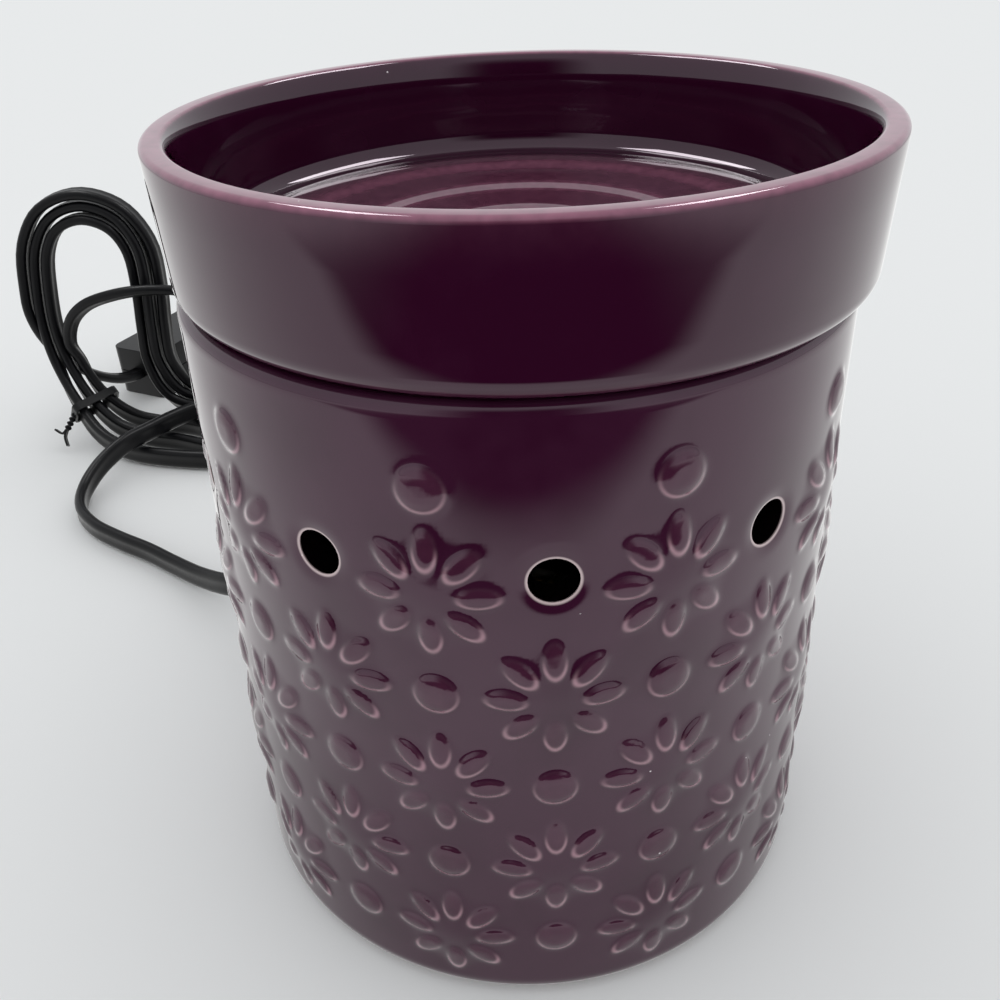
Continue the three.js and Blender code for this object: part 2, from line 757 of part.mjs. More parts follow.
for (const [side, x] of screwSides) {
  const screw = turned(
    [
      [0, -switchHeight / 4],
      [switchScrewRadius, -switchHeight / 4],
      [switchScrewRadius, screwHeadFoot],
      [switchScrewHeadRadius, screwHeadFoot],
      [switchScrewHeadRadius, switchHeight / 2 - seatGap],
      [0, switchHeight / 2 - seatGap],
    ],
    smallSides,
  );
  add(`switch_screw_${side}`, screw.translate(x, 0, 0), steel, switchPlace);
}

// Plug: moulded body with two blades

const plugAxis = polar(1, plugYaw, 0);
const plugEnd = new THREE.Vector3(...plugEntry, plugHeight / 2 + tableGap);
const plugPlace = new THREE.Group();
plugPlace.position.copy(plugEnd);
plugPlace.rotation.z = degrees(plugYaw);
warmer.add(plugPlace);

const bladeFoot = plugLength - bladeRoot;
const bladeSides = [['front', -bladeSpacing / 2], ['back', bladeSpacing / 2]];
const onX = new THREE.Vector3(1, 0, 0);

function plugBody() {
  const shape = roundedBox(plugHeight, plugWidth, seatGap, plugLength, plugRound, plugSteps);
  const corners = shape.attributes.position;
  for (let i = 0; i < corners.count; i += 1) {
    const full = THREE.MathUtils.smoothstep(corners.getZ(i), seatGap, plugTaper);
    corners.setX(i, corners.getX(i) * THREE.MathUtils.lerp(plugTailHeight / plugHeight, 1, full));
    corners.setY(i, corners.getY(i) * THREE.MathUtils.lerp(plugTailWidth / plugWidth, 1, full));
  }
  const slots = bladeSides.map(([, y]) => {
    const slot = roundedBox(
      bladeWidth + holeClearance,
      bladeThickness + holeClearance,
      bladeFoot - seatGap,
      plugLength * 2,
      bladeThickness / 4,
    );
    return slot.translate(0, y, 0);
  });
  return along(cut(shape, slots), new THREE.Vector3(), onX);
}
add('plug_body', plugBody(), blackPlastic, plugPlace);
for (const [side, y] of bladeSides) {
  const bladeEnd = plugLength + bladeLength;
  const blade = roundedBox(bladeWidth, bladeThickness, bladeFoot, bladeEnd, bladeThickness / 4);
  add(`plug_blade_${side}`, along(blade.translate(0, y, 0), new THREE.Vector3(), onX), brass, plugPlace);
}

// Flat flex: rings of eight points along a centre line, with the width of the flex set at each ring

function flexSection() {
  const [w, t] = [flexWidth / 2, flexThickness / 2];
  const half = [[w, t / 2], [w / 2, t], [-w / 2, t], [-w, t / 2]];
  return [...half, ...half.map(([x, y]) => [-x, -y])];
}

function flexRings(centres, widths) {
  const section = flexSection();
  return centres.map((centre, i) => {
    const ahead = centres[Math.min(i + 1, centres.length - 1)];
    const behind = centres[Math.max(i - 1, 0)];
    const forward = ahead.clone().sub(behind).normalize();
    const width = widths[i].clone().addScaledVector(forward, -widths[i].dot(forward)).normalize();
    const depth = new THREE.Vector3().crossVectors(forward, width);
    return section.map(([w, t]) => centre.clone().addScaledVector(width, w).addScaledVector(depth, t));
  });
}

function flexSkin(rings) {
  const sides = rings[0].length;
  const positions = rings.flat().flatMap((point) => point.toArray());
  const triangles = [];
  for (let i = 0; i + 1 < rings.length; i += 1) {
    for (let j = 0; j < sides; j += 1) {
      const a = i * sides + j;
      const b = i * sides + ((j + 1) % sides);
      triangles.push(a, b, a + sides, b, b + sides, a + sides);
    }
  }
  const last = (rings.length - 1) * sides;
  for (let j = 1; j + 1 < sides; j += 1) {
    triangles.push(0, j + 1, j, last, last + j, last + j + 1);
  }
  const geometry = new THREE.BufferGeometry();
  geometry.setAttribute('position', new THREE.Float32BufferAttribute(positions, 3));
  geometry.setIndex(triangles);
  return geometry;
}

// Free run of the flex, from the bush to the far end of the switch: along the table, over the front
// of the hank and round behind it. The last number turns the flex from edge-on (0) to flat (1).

const up = new THREE.Vector3(0, 0, 1);
const switchFace = switchLength / 2 + seatGap;
const switchFar = switchMiddle.clone().addScaledVector(switchAxis, switchFace);
const switchNear = switchMiddle.clone().addScaledVector(switchAxis, -switchFace);
const bushTip = polar(bushEnd + seatGap, cordAngle, cordExitHeight);
const onTable = flexWidth / 2 + tableGap;
const cordDip = 0.5; // how far the flex has sunk, one flex width from the bush

const runPoints = [
  [bushTip.x, bushTip.y, bushTip.z, 0],
  [...bushTip.clone().addScaledVector(cordDirection, flexWidth).addScaledVector(up, -cordDip).toArray(), 0],
  [-84, 59.5, 10.4, 0],
  [-96, 69.5, 5.8, 0],
  [-107, 78.5, 4, 0],
  [-118, 86.5, onTable, 0],
  [-129.5, 93.5, onTable, 0],
  [-140.5, 101.5, onTable, 0],
  [-148.8, 112, onTable, 0],
  [-151.8, 124, 4.6, 0],
  [-149, 135, 8.2, 0],
  [-142.6, 144.5, 11.6, 0],
  [-136.5, 153, 11.9, 0],
  [-130.5, 162, 11.8, 0],
  [-122.5, 170, 11.8, 0],
  [-111, 174.5, 11.8, 0],
  [-98, 175, 11.8, 0],
  [-84, 173, 11.8, 0],
  [-69.5, 171, 11.4, 0],
  [-56.5, 171.5, 7.8, 0],
  [-45, 175.5, 4.6, 0],
  [-36.5, 184, onTable, 0],
  [-32.5, 197, onTable, 0],
  [-32.5, 212, onTable, 0],
  [-36, 228, onTable, 0],
  [-42, 243, onTable, 0],
  [-52, 258, onTable, 0],
  [-66, 272, onTable, 0],
  [-83, 283, onTable, 0],
  [-100, 288, 4.4, 0.2],
  [-115, 286, 6.4, 0.5],
  [-125, 278.5, 9, 0.8],
  [...switchFar.clone().addScaledVector(switchAxis, flexWidth).toArray(), 1],
  [...switchFar.toArray(), 1],
];
const runPath = new THREE.CatmullRomCurve3(runPoints.map(([x, y, z]) => new THREE.Vector3(x, y, z)));
const runSteps = 72;

function runRings() {
  const centres = [];
  const widths = [];
  for (let i = 0; i <= runSteps; i += 1) {
    const share = i / runSteps;
    const place = share * (runPoints.length - 1);
    const before = Math.min(Math.floor(place), runPoints.length - 2);
    const flat = THREE.MathUtils.lerp(runPoints[before][3], runPoints[before + 1][3], place - before);
    const level = new THREE.Vector3().crossVectors(up, runPath.getTangent(share)).normalize();
    const turn = (flat * Math.PI) / 2;
    centres.push(runPath.getPoint(share));
    widths.push(up.clone().multiplyScalar(Math.cos(turn)).addScaledVector(level, Math.sin(turn)));
  }
  return flexRings(centres, widths);
}
const runSections = runRings();
add('cord_run', flexSkin(runSections), blackPlastic);

// Hank of flex: each loop goes up from the tie, over the top, down, and round on the table. Loop
// after loop lies one step further in, so the winding never meets itself.

const strandHeight = onTable + tableGap;
function topRound(angle, y) {
  const [x, z] = hankTopMiddle;
  const way = new THREE.Vector3(Math.cos(degrees(angle)), 0, Math.sin(degrees(angle)));
  const place = new THREE.Vector3(x, y, z).addScaledVector(way, hankTopRadius);
  return { place: place.toArray(), step: way.multiplyScalar(hankStep).toArray() };
}

function tableFold(angle) {
  const way = polar(1, angle, 0);
  const place = new THREE.Vector3(...hankFoldMiddle, strandHeight).addScaledVector(way, hankFoldRadius);
  return { place: place.toArray(), step: way.multiplyScalar(hankStep).toArray() };
}

const hankGuide = [
  { place: [-173, 178.5, 27], step: [-hankStep, -1, 0] },
  { place: [-176, 182, 41], step: [-hankStep, 0, 0.2] },
  { place: [-176, 184.5, 55], step: [-hankStep, 0, 0.4] },
  topRound(165, 186.5),
  topRound(128, 188),
  topRound(90, 188.5),
  topRound(52, 188),
  topRound(15, 186.5),
  { place: [-137.5, 184.5, 55], step: [hankStep, 0, 0.4] },
  { place: [-138, 182.5, 41.5], step: [hankStep, 0, 0] },
  { place: [-138, 181.5, 28], step: [4.5, 0.4, 0] },
  { place: [-133.5, 181.5, 15.5], step: [4.6, 2.4, 0] },
  { place: [-125, 183.5, 7.6], step: [1.2, 5.2, 0] },
  { place: [-112, 187, 4.3], step: [0, 4.6, 0] },
  ...[90, 54, 18, -18, -54, -90].map(tableFold),
  { place: [-114, 150.5, strandHeight], step: [-0.3, -8.5, 0] },
  { place: [-129, 155, strandHeight], step: [-1, -12, 0] },
  { place: [-143, 159, 4.2], step: [-3, -11, 0] },
  { place: [-155.5, 164.5, 7], step: [-4, -7.5, 0] },
  { place: [-165.5, 171.5, 15], step: [-4.2, -3.2, 0] },
];
const archPoints = [
  [-169, 179.5, 36],
  [-165.5, 177.5, 45.5],
  [-158, 175.5, 52.5],
  [-147, 174.5, 56.5],
  [-134, 175, 58],
  [-120.5, 177.5, 56],
  [-108, 181, 49.5],
  [-97, 184.5, 40],
  [-88, 188, 29],
  [-81.8, 192.3, 19],
  [-77.6, 197.8, 12],
];
const closed = true;
const guidePoints = (key) => hankGuide.map((point) => new THREE.Vector3(...point[key]));
const guidePlace = new THREE.CatmullRomCurve3(guidePoints('place'), closed);
const guideStep = new THREE.CatmullRomCurve3(guidePoints('step'), closed);
const hankMiddle = (hankStart + hankEnd) / 2;

function hankAt(turns) {
  const share = turns - Math.floor(turns);
  const forward = guidePlace.getTangent(share);
  const step = guideStep.getPoint(share);
  step.addScaledVector(forward, -step.dot(forward));
  const width = new THREE.Vector3().crossVectors(forward, step).normalize();
  const fromTie = Math.sin(Math.PI * (share - hankTie)) ** 2;
  const lift = Math.max(0, Math.min(1, guidePlace.getPoint(share).z / bodyHeight));
  const sway = hankSway * fromTie * lift * Math.sin(2 * Math.PI * (1.4 * turns + share));
  const centre = guidePlace.getPoint(share);
  centre.addScaledVector(step, hankMiddle - turns).addScaledVector(width, sway);
  return { centre, width, forward };
}

function hankRings() {
  const centres = [];
  const widths = [];
  const first = hankAt(hankStart);
  const leadIn = new THREE.CubicBezierCurve3(
    switchNear,
    switchNear.clone().addScaledVector(switchAxis, -leadReach),
    first.centre.clone().addScaledVector(first.forward, -leadReach),
    first.centre,
  );
  const leadSteps = 10;
  const level = new THREE.Vector3(switchAxis.y, -switchAxis.x, 0);
  for (let i = 0; i < leadSteps; i += 1) {
    centres.push(leadIn.getPoint(i / leadSteps));
    widths.push(level.clone().lerp(first.width, i / leadSteps));
  }
  const count = Math.round((hankEnd - hankStart) * hankSteps);
  for (let i = 0; i <= count; i += 1) {
    const { centre, width } = hankAt(hankStart + ((hankEnd - hankStart) * i) / count);
    centres.push(centre);
    widths.push(width);
  }
  const last = hankAt(hankEnd);
  const arch = new THREE.CatmullRomCurve3([
    last.centre.clone().addScaledVector(last.forward, -archReach),
    last.centre,
    ...archPoints.map((point) => new THREE.Vector3(...point)),
    plugEnd.clone().addScaledVector(plugAxis, -archReach),
    plugEnd,
  ]);
  const archStart = 1 / (arch.points.length - 1);
  const flat = new THREE.Vector3(-plugAxis.y, plugAxis.x, 0);
  for (let i = 1; i <= archSteps; i += 1) {
    const share = i / archSteps;
    centres.push(arch.getPoint(THREE.MathUtils.lerp(archStart, 1, share)));
    widths.push(last.width.clone().lerp(flat, share));
  }
  return flexRings(centres, widths);
}

function leastGap(rings, apart) {
  let least = Infinity;
  for (let i = 0; i < rings.length; i += 1) {
    for (let j = i + apart; j < rings.length; j += 1) {
      for (const a of rings[i]) {
        for (const b of rings[j]) least = Math.min(least, a.distanceTo(b));
      }
    }
  }
  return least;
}
function ringLength(rings) {
  let length = 0;
  for (let i = 1; i < rings.length; i += 1) {
    const [a, b] = [rings[i - 1], rings[i]].map((ring) => ring[0].clone().add(ring[4]).multiplyScalar(0.5));
    length += a.distanceTo(b);
  }
  return length;
}
const windings = hankRings();
const lengths = [runSections, windings].map((rings) => ringLength(rings).toFixed(0));
console.log(`flex: ${lengths[0]} mm to the switch, ${lengths[1]} mm after it`);
console.log(`least gap of the hank to itself: ${leastGap(windings, hankSteps / 3).toFixed(2)} mm`);
add('cord_hank', flexSkin(windings), blackPlastic);

// Wire tie round the strands at the lower left corner of the hank

function hankTieRing() {
  const passes = [];
  for (let turns = hankTie; turns < hankEnd; turns += 1) passes.push(turns);
  const { forward: strand } = hankAt(hankTie);
  const first = hankAt(passes[0]).centre;
  const last = hankAt(passes[passes.length - 1]).centre;
  const centre = first.clone().lerp(last, 0.5);
  const halfOut = first.distanceTo(last) / 2 + flexThickness / 2 + tieGap;
  const halfWide = flexWidth / 2 + tieGap;
  const ring = cut(
    roundedBox(2 * (halfOut + tieThickness), 2 * (halfWide + tieThickness), -tieWidth / 2, tieWidth / 2, 2),
    [roundedBox(2 * halfOut, 2 * halfWide, -tieWidth, tieWidth, 1)],
  );
  const out = last.clone().sub(first).normalize();
  const wide = new THREE.Vector3().crossVectors(strand, out).normalize();
  const forward = new THREE.Vector3().crossVectors(out, wide);
  return ring.applyMatrix4(new THREE.Matrix4().makeBasis(out, wide, forward).setPosition(centre));
}
add('hank_tie', hankTieRing(), blackPlastic);

export default warmer;
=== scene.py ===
# %% [markdown]
# An electric wax warmer in Blender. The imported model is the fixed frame: every piece made here
# sits where its solid is, in metres, +Z up, and rides on one of the model's bodies.

# %% Load the frame
import json
import math

import bmesh
import bpy
from mathutils import Matrix, Vector


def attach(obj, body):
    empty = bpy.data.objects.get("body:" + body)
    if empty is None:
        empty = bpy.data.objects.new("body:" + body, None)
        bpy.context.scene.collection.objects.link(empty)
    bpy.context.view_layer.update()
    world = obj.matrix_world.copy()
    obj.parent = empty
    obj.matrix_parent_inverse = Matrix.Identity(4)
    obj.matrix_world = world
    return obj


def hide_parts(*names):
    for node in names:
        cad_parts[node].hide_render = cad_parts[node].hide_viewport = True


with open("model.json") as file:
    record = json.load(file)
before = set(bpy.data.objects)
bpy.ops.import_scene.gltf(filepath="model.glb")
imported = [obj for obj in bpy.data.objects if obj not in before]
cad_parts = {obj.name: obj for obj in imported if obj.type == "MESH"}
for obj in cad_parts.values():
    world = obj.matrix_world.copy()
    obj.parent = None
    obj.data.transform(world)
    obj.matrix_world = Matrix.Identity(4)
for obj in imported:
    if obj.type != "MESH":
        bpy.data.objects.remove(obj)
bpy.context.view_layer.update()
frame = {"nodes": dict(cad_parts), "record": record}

MM = 0.001
body_of_node = {
    node: body
    for body, nodes in frame["record"]["behaviour"]["bodies"].items()
    for node in nodes
}
slot_of_node = {part["node"]: part["material_slot"] for part in frame["record"]["subparts"]}

# %% [markdown]
# The camera stands close, a little above the dish, and looks down at 32 degrees, turned very
# slightly. Its wide lens sees about as far across as away, which is why the body tapers so strongly
# in the picture. The turn is built from three angles, which are easier to change than a matrix.

# %% Camera
CAMERA_PLACE = Vector((0.0, -0.17114, 0.18362))
CAMERA_YAW, CAMERA_PITCH, CAMERA_ROLL = (math.radians(a) for a in (-1.4135, -32.369, -2.1505))
LENS_SHARE, SENSOR, NEAREST = 0.9981, 36.0, 0.01
lens = bpy.data.cameras.new("photo_camera")
lens.sensor_width = SENSOR
lens.lens = SENSOR * LENS_SHARE
lens.clip_start = NEAREST
camera = bpy.data.objects.new("photo_camera", lens)
turn = Matrix.Rotation(-CAMERA_YAW, 4, "Z") @ Matrix.Rotation(math.pi / 2 + CAMERA_PITCH, 4, "X")
turn = turn @ Matrix.Rotation(CAMERA_ROLL, 4, "Z")
camera.matrix_world = Matrix.Translation(CAMERA_PLACE) @ turn
bpy.context.scene.collection.objects.link(camera)
bpy.context.scene.camera = camera
print("lens:", round(lens.lens, 2), "mm")

# %% [markdown]
# Finishes are node trees, which could be wired node by node. Here one small class lets a socket take
# part in Python arithmetic, and one method makes any other node, so that a finish reads like a short
# formula.

# %% Finishes: the writing tools


class Reading:
    """A socket of a node tree that can be used in an expression."""

    def __init__(self, finish, socket):
        self.finish = finish
        self.socket = socket

    def maths(self, operation, first, second):
        return self.finish.node("ShaderNodeMath", {"operation": operation}, [first, second])

    def __add__(self, other):
        return self.maths("ADD", self, other)

    def __sub__(self, other):
        return self.maths("SUBTRACT", self, other)

    def __rsub__(self, other):
        return self.maths("SUBTRACT", other, self)

    def __mul__(self, other):
        return self.maths("MULTIPLY", self, other)

    def __gt__(self, other):
        return self.maths("GREATER_THAN", self, other)

    def __lt__(self, other):
        return self.maths("LESS_THAN", self, other)

    __radd__ = __add__
    __rmul__ = __mul__

    def step(self, low, high):
        """0 below low, 1 above high, smooth between them."""
        settings = {"interpolation_type": "SMOOTHSTEP"}
        return self.finish.node("ShaderNodeMapRange", settings, [self, low, high, 0.0, 1.0])


class Finish:
    """A material with a Principled shader."""

    def __init__(self, name, **values):
        self.material = bpy.data.materials.new(name)
        self.material.use_nodes = True
        self.tree = self.material.node_tree
        self.shader = self.tree.nodes["Principled BSDF"]
        self.set(**values)

    def node(self, kind, settings, inputs, output=0):
        """Any node: its settings first, then its inputs by place or by name."""
        made = self.tree.nodes.new(kind)
        for key, value in settings.items():
            setattr(made, key, value)
        if isinstance(inputs, dict):
            pairs = [(made.inputs[name], value) for name, value in inputs.items()]
        else:
            pairs = zip([socket for socket in made.inputs if socket.enabled], inputs)
        for socket, value in pairs:
            self.feed(socket, value)
        return Reading(self, [socket for socket in made.outputs if socket.enabled][output])

    def feed(self, socket, value):
        if isinstance(value, Reading):
            self.tree.links.new(value.socket, socket)
        else:
            socket.default_value = value

    def set(self, **values):
        for name, value in values.items():
            self.feed(self.shader.inputs[name.replace("_", " ")], value)

    def place(self):
        return self.node("ShaderNodeTexCoord", {}, [], output=3)

    def axis(self, index):
        return self.node("ShaderNodeSeparateXYZ", {}, [self.place()], output=index)

    def attribute(self, name):
        return self.node("ShaderNodeAttribute", {"attribute_name": name}, [], output=2)

    def noise(self, scale, detail=2.0):
        return self.node("ShaderNodeTexNoise", {}, {"Vector": self.place(), "Scale": scale, "Detail": detail})

    def cells(self, scale):
        return self.node("ShaderNodeTexVoronoi", {}, {"Vector": self.place(), "Scale": scale})

    def mix(self, share, first, second):
        return self.node("ShaderNodeMix", {"data_type": "RGBA"}, [share, first, second])

    def bump(self, height, strength, distance):
        inputs = {"Strength": strength, "Distance": distance, "Height": height}
        return self.node("ShaderNodeBump", {}, inputs)


def colour(red, green, blue):
    return (red, green, blue, 1.0)


print("finish tools ready")

# %% [markdown]
# Every mesh becomes an object in the same way. A piece that stands for a solid rides on that
# solid's body and replaces it.

# %% Objects


def new_object(name, bm, finish):
    mesh = bpy.data.meshes.new(name)
    bm.to_mesh(mesh)
    bm.free()
    mesh.materials.append(finish.material)
    made = bpy.data.objects.new(name, mesh)
    bpy.context.scene.collection.objects.link(made)
    return made


def seat(made, node):
    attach(made, body_of_node[node])
    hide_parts(node)
    return made


print("slots:", len(set(slot_of_node.values())))

# %% [markdown]
# The table is pale and quite matt, so that it shows no mirror image of what stands over it.

# %% Table
TABLE_COLOUR, TABLE_SIZE = colour(0.83, 0.835, 0.83), 8.0


def stage_plane(name, size, place, finish, upright=False):
    bm = bmesh.new()
    bmesh.ops.create_grid(bm, x_segments=1, y_segments=1, size=0.5)
    bmesh.ops.scale(bm, vec=(size[0], size[1], 1.0), verts=bm.verts)
    if upright:
        bmesh.ops.rotate(bm, verts=bm.verts, matrix=Matrix.Rotation(math.radians(90), 3, "X"))
    bmesh.ops.translate(bm, vec=place, verts=bm.verts)
    made = new_object(name, bm, finish)
    return made


table_finish = Finish("table", Base_Color=TABLE_COLOUR, Roughness=0.6, Specular_IOR_Level=0.0)
stage_plane("table", (TABLE_SIZE, TABLE_SIZE), (0, 0, 0), table_finish)
print("table made")

# %% [markdown]
# The glossy front of the warmer shows the bright table, its near edge and the dark room past that.
# Two cards that only reflections see stand in for these: one on the table and one upright.

# %% Cards for the reflections
ROOM_COLOUR, ROOM_LIGHT = colour(0.97, 0.985, 1.0), 1.0
TABLE_GLOW, CONTACT_SHADOW_GLOW = colour(1.12, 1.13, 1.12), colour(0.55, 0.55, 0.55)
CARD_DARK = colour(0.008, 0.006, 0.008)
CARD_WIDTH, CARD_FAR, CARD_TALL, CARD_LIFT = 2.4, 0.95, 1.4, 0.0004
DARK_SIDES, CONTACT_SHADOW_REACH, TABLE_EDGE, CEILING = (0.16, 0.62), (0.055, 0.15), (0.20, 0.255), (0.55, 1.25)


def mirror_card(name, size, place, upright, paint):
    finish = Finish(name, Base_Color=colour(0, 0, 0), Roughness=1.0, Specular_IOR_Level=0.0)
    glow, dark = paint(finish)
    sideways = finish.node("ShaderNodeMath", {"operation": "ABSOLUTE"}, [finish.axis(0)])
    dark = dark * (1 - sideways.step(*DARK_SIDES))
    finish.set(Emission_Color=finish.mix(dark, glow, CARD_DARK), Emission_Strength=1.0)
    card = stage_plane(name, size, place, finish, upright)
    for way in ("camera", "diffuse", "shadow", "transmission", "volume_scatter"):
        setattr(card, f"visible_{way}", False)


def floor_paint(finish):
    away = finish.node("ShaderNodeVectorMath", {"operation": "LENGTH"}, [finish.place()])
    # Painted contact shadow: near the base the floor card glows dimmer, as the shaded table would.
    glow = finish.mix(away.step(*CONTACT_SHADOW_REACH), CONTACT_SHADOW_GLOW, TABLE_GLOW)
    return glow, (-1 * finish.axis(1)).step(*TABLE_EDGE)


def wall_paint(finish):
    return ROOM_COLOUR, 1 - finish.axis(2).step(*CEILING)


mirror_card("mirror_floor", (CARD_WIDTH, 2 * CARD_FAR), (0, 0, CARD_LIFT), False, floor_paint)
mirror_card("mirror_wall", (CARD_WIDTH, CARD_TALL), (0, -CARD_FAR, CARD_TALL / 2), True, wall_paint)
print("cards made")

# %% [markdown]
# Soft light comes from the whole room. Two long lamps overhead light nothing matt: they draw the
# streaks on the lip, the shoulder and the floor of the dish.

# %% Lamps and room
LAMP_SIZE, LAMP_POWER, LAMP_TILT, LAMP_TURN = (0.2, 0.6), 5.5, 22, 12
LAMP_BACK, LAMP_HEIGHT = 0.35, 1.0
for name, x, side in (("lamp_left", -0.42, -1), ("lamp_right", 0.46, 1)):
    light = bpy.data.lights.new(name, "AREA")
    light.shape = "RECTANGLE"
    light.size, light.size_y = LAMP_SIZE
    light.energy = LAMP_POWER
    lamp = bpy.data.objects.new(name, light)
    lamp.location = (x, LAMP_BACK, LAMP_HEIGHT)
    lamp.rotation_euler = (0, math.radians(LAMP_TILT * side), math.radians(-LAMP_TURN * side))
    lamp.visible_diffuse = False
    bpy.context.scene.collection.objects.link(lamp)

world = bpy.data.worlds.new("room")
world.use_nodes = True
room = world.node_tree.nodes["Background"]
room.inputs["Color"].default_value = ROOM_COLOUR
room.inputs["Strength"].default_value = ROOM_LIGHT
bpy.context.scene.world = world
bpy.context.scene.view_settings.view_transform = "Standard"
print("lamps and room made")

# %% [markdown]
# The flex is a flat twin lead: two round cores side by side under one black vinyl sheath, with a
# groove along each face. It is swept along the same routes as the solids. A curve with a bevel
# would twist by itself, and a flat lead must not, so the width is set at every ring.

# %% Flex: section and sweep
FLEX_WIDTH, FLEX_THICKNESS, CORE_REACH = 7.2 * MM, 3.6 * MM, 118
SCUFF_SCALE, VINYL_GRAIN = 900.0, 2500.0


def twin_section(width, thickness, points=11):
    core = thickness / 2
    offset = width / 2 - core
    reach = math.radians(CORE_REACH)
    right = []
    for i in range(points):
        angle = -reach + 2 * reach * i / (points - 1)
        right.append((offset + core * math.cos(angle), core * math.sin(angle)))
    return right + [(-x, -y) for x, y in right]


def sweep(name, centres, widths, section, finish):
    """A closed skin of rings along centres, each ring's first axis along its width."""
    bm = bmesh.new()
    rings = []
    for i, centre in enumerate(centres):
        ahead = centres[min(i + 1, len(centres) - 1)] - centres[max(i - 1, 0)]
        ahead.normalize()
        wide = (widths[i] - ahead * widths[i].dot(ahead)).normalized()
        deep = ahead.cross(wide)
        rings.append([bm.verts.new(centre + wide * x + deep * y) for x, y in section])
    for low, high in zip(rings, rings[1:]):
        for i in range(len(section)):
            j = (i + 1) % len(section)
            bm.faces.new((low[i], low[j], high[j], high[i]))
    bm.faces.new(list(reversed(rings[0])))
    bm.faces.new(rings[-1])
    for face in bm.faces:
        face.smooth = len(face.verts) == 4
    bmesh.ops.recalc_face_normals(bm, faces=bm.faces)
    return new_object(name, bm, finish)


def smooth_line(points, closed=False):
    """A centripetal Catmull-Rom line through points, as a function of a share from 0 to 1."""
    if closed:
        knots = [points[-1], *points, points[0], points[1]]
    else:
        knots = [2 * points[0] - points[1], *points, 2 * points[-1] - points[-2]]
    count = len(knots) - 3

    def at(share):
        place = (share % 1.0 if closed else min(max(share, 0.0), 1.0)) * count
        first = min(int(place), count - 1)
        weight = place - first
        a, b, c, d = knots[first:first + 4]
        steps = [max((after - before).length, 1e-9) ** 0.5 for before, after in ((a, b), (b, c), (c, d))]
        start = (b - a) / steps[0] - (c - a) / (steps[0] + steps[1]) + (c - b) / steps[1]
        end = (c - b) / steps[1] - (d - b) / (steps[1] + steps[2]) + (d - c) / steps[2]
        start, end = start * steps[1], end * steps[1]
        cubic = 2 * b - 2 * c + start + end
        square = -3 * b + 3 * c - 2 * start - end
        return b + start * weight + square * weight**2 + cubic * weight**3

    return at


def heading(line, share, step=1e-4):
    return (line(share + step) - line(share - step)).normalized()


flex_finish = Finish("flex_vinyl", Base_Color=colour(0.003, 0.003, 0.004), Specular_IOR_Level=0.16)
scuffs = flex_finish.noise(SCUFF_SCALE, 3.0)
flex_finish.set(Roughness=0.26 + 0.2 * scuffs)
flex_finish.set(Normal=flex_finish.bump(flex_finish.noise(VINYL_GRAIN), 0.12, 0.0002))
twin = twin_section(FLEX_WIDTH, FLEX_THICKNESS)
print("flex section:", len(twin), "points")

# %% [markdown]
# The free run leaves the rubber bush at the back left, drops to the table, swings round in a wide
# bend, passes over the front of the hank and comes round behind it into the far end of the switch.
# Its points repeat those of the solid, so that it lies where the solid does.

# %% Flex: the free run
UP = Vector((0, 0, 1))


def level_way(degrees):
    return Vector((math.cos(math.radians(degrees)), math.sin(math.radians(degrees)), 0))


CORD_ANGLE, CORD_EXIT_HEIGHT, BUSH_END = 144, 15.0, 84.262
CORD_WAY = level_way(CORD_ANGLE)
SWITCH_WAY, SWITCH_LENGTH = level_way(66), 58.0
SWITCH_MIDDLE = Vector((-158, 208.5, 10.2)) + SWITCH_WAY * SWITCH_LENGTH / 2
SEAT_GAP = 0.3
switch_far = SWITCH_MIDDLE + SWITCH_WAY * (SWITCH_LENGTH / 2 + SEAT_GAP)
switch_near = SWITCH_MIDDLE - SWITCH_WAY * (SWITCH_LENGTH / 2 + SEAT_GAP)
bush_tip = CORD_WAY * (BUSH_END + SEAT_GAP) + UP * CORD_EXIT_HEIGHT
RUN_ROUTE = [
    bush_tip, bush_tip + CORD_WAY * FLEX_WIDTH / MM - UP * 0.5, (-84, 59.5, 10.4), (-96, 69.5, 5.8),
    (-107, 78.5, 4), (-118, 86.5, 3.8), (-129.5, 93.5, 3.8), (-140.5, 101.5, 3.8), (-148.8, 112, 3.8),
    (-151.8, 124, 4.6), (-149, 135, 8.2), (-142.6, 144.5, 11.6), (-136.5, 153, 11.9), (-130.5, 162, 11.8),
    (-122.5, 170, 11.8), (-111, 174.5, 11.8), (-98, 175, 11.8), (-84, 173, 11.8), (-69.5, 171, 11.4),
    (-56.5, 171.5, 7.8), (-45, 175.5, 4.6), (-36.5, 184, 3.8), (-32.5, 197, 3.8), (-32.5, 212, 3.8),
    (-36, 228, 3.8), (-42, 243, 3.8), (-52, 258, 3.8), (-66, 272, 3.8), (-83, 283, 3.8), (-100, 288, 4.4),
    (-115, 286, 6.4), (-125, 278.5, 9), switch_far + SWITCH_WAY * FLEX_WIDTH / MM, switch_far,
]
# On edge at 0 and flat at 1, for each point.
LYING_END = [0.2, 0.5, 0.8, 1, 1]
run_lying = [0] * (len(RUN_ROUTE) - len(LYING_END)) + LYING_END
run_line = smooth_line([Vector(place) * MM for place in RUN_ROUTE])
RUN_STEPS = 190
run_centres, run_widths = [], []
for i in range(RUN_STEPS + 1):
    share = i / RUN_STEPS
    place = share * (len(RUN_ROUTE) - 1)
    before = min(int(place), len(RUN_ROUTE) - 2)
    lying = run_lying[before] + (run_lying[before + 1] - run_lying[before]) * (place - before)
    level = UP.cross(heading(run_line, share)).normalized()
    tilt = lying * math.pi / 2
    run_centres.append(run_line(share))
    run_widths.append(UP * math.cos(tilt) + level * math.sin(tilt))


def line_length(points):
    return sum((b - a).length for a, b in zip(points, points[1:]))


run_length = line_length(run_centres)
flex_run = seat(sweep("flex_run", run_centres, run_widths, twin, flex_finish), "cord_run")
print("free run:", round(run_length, 3), "m")

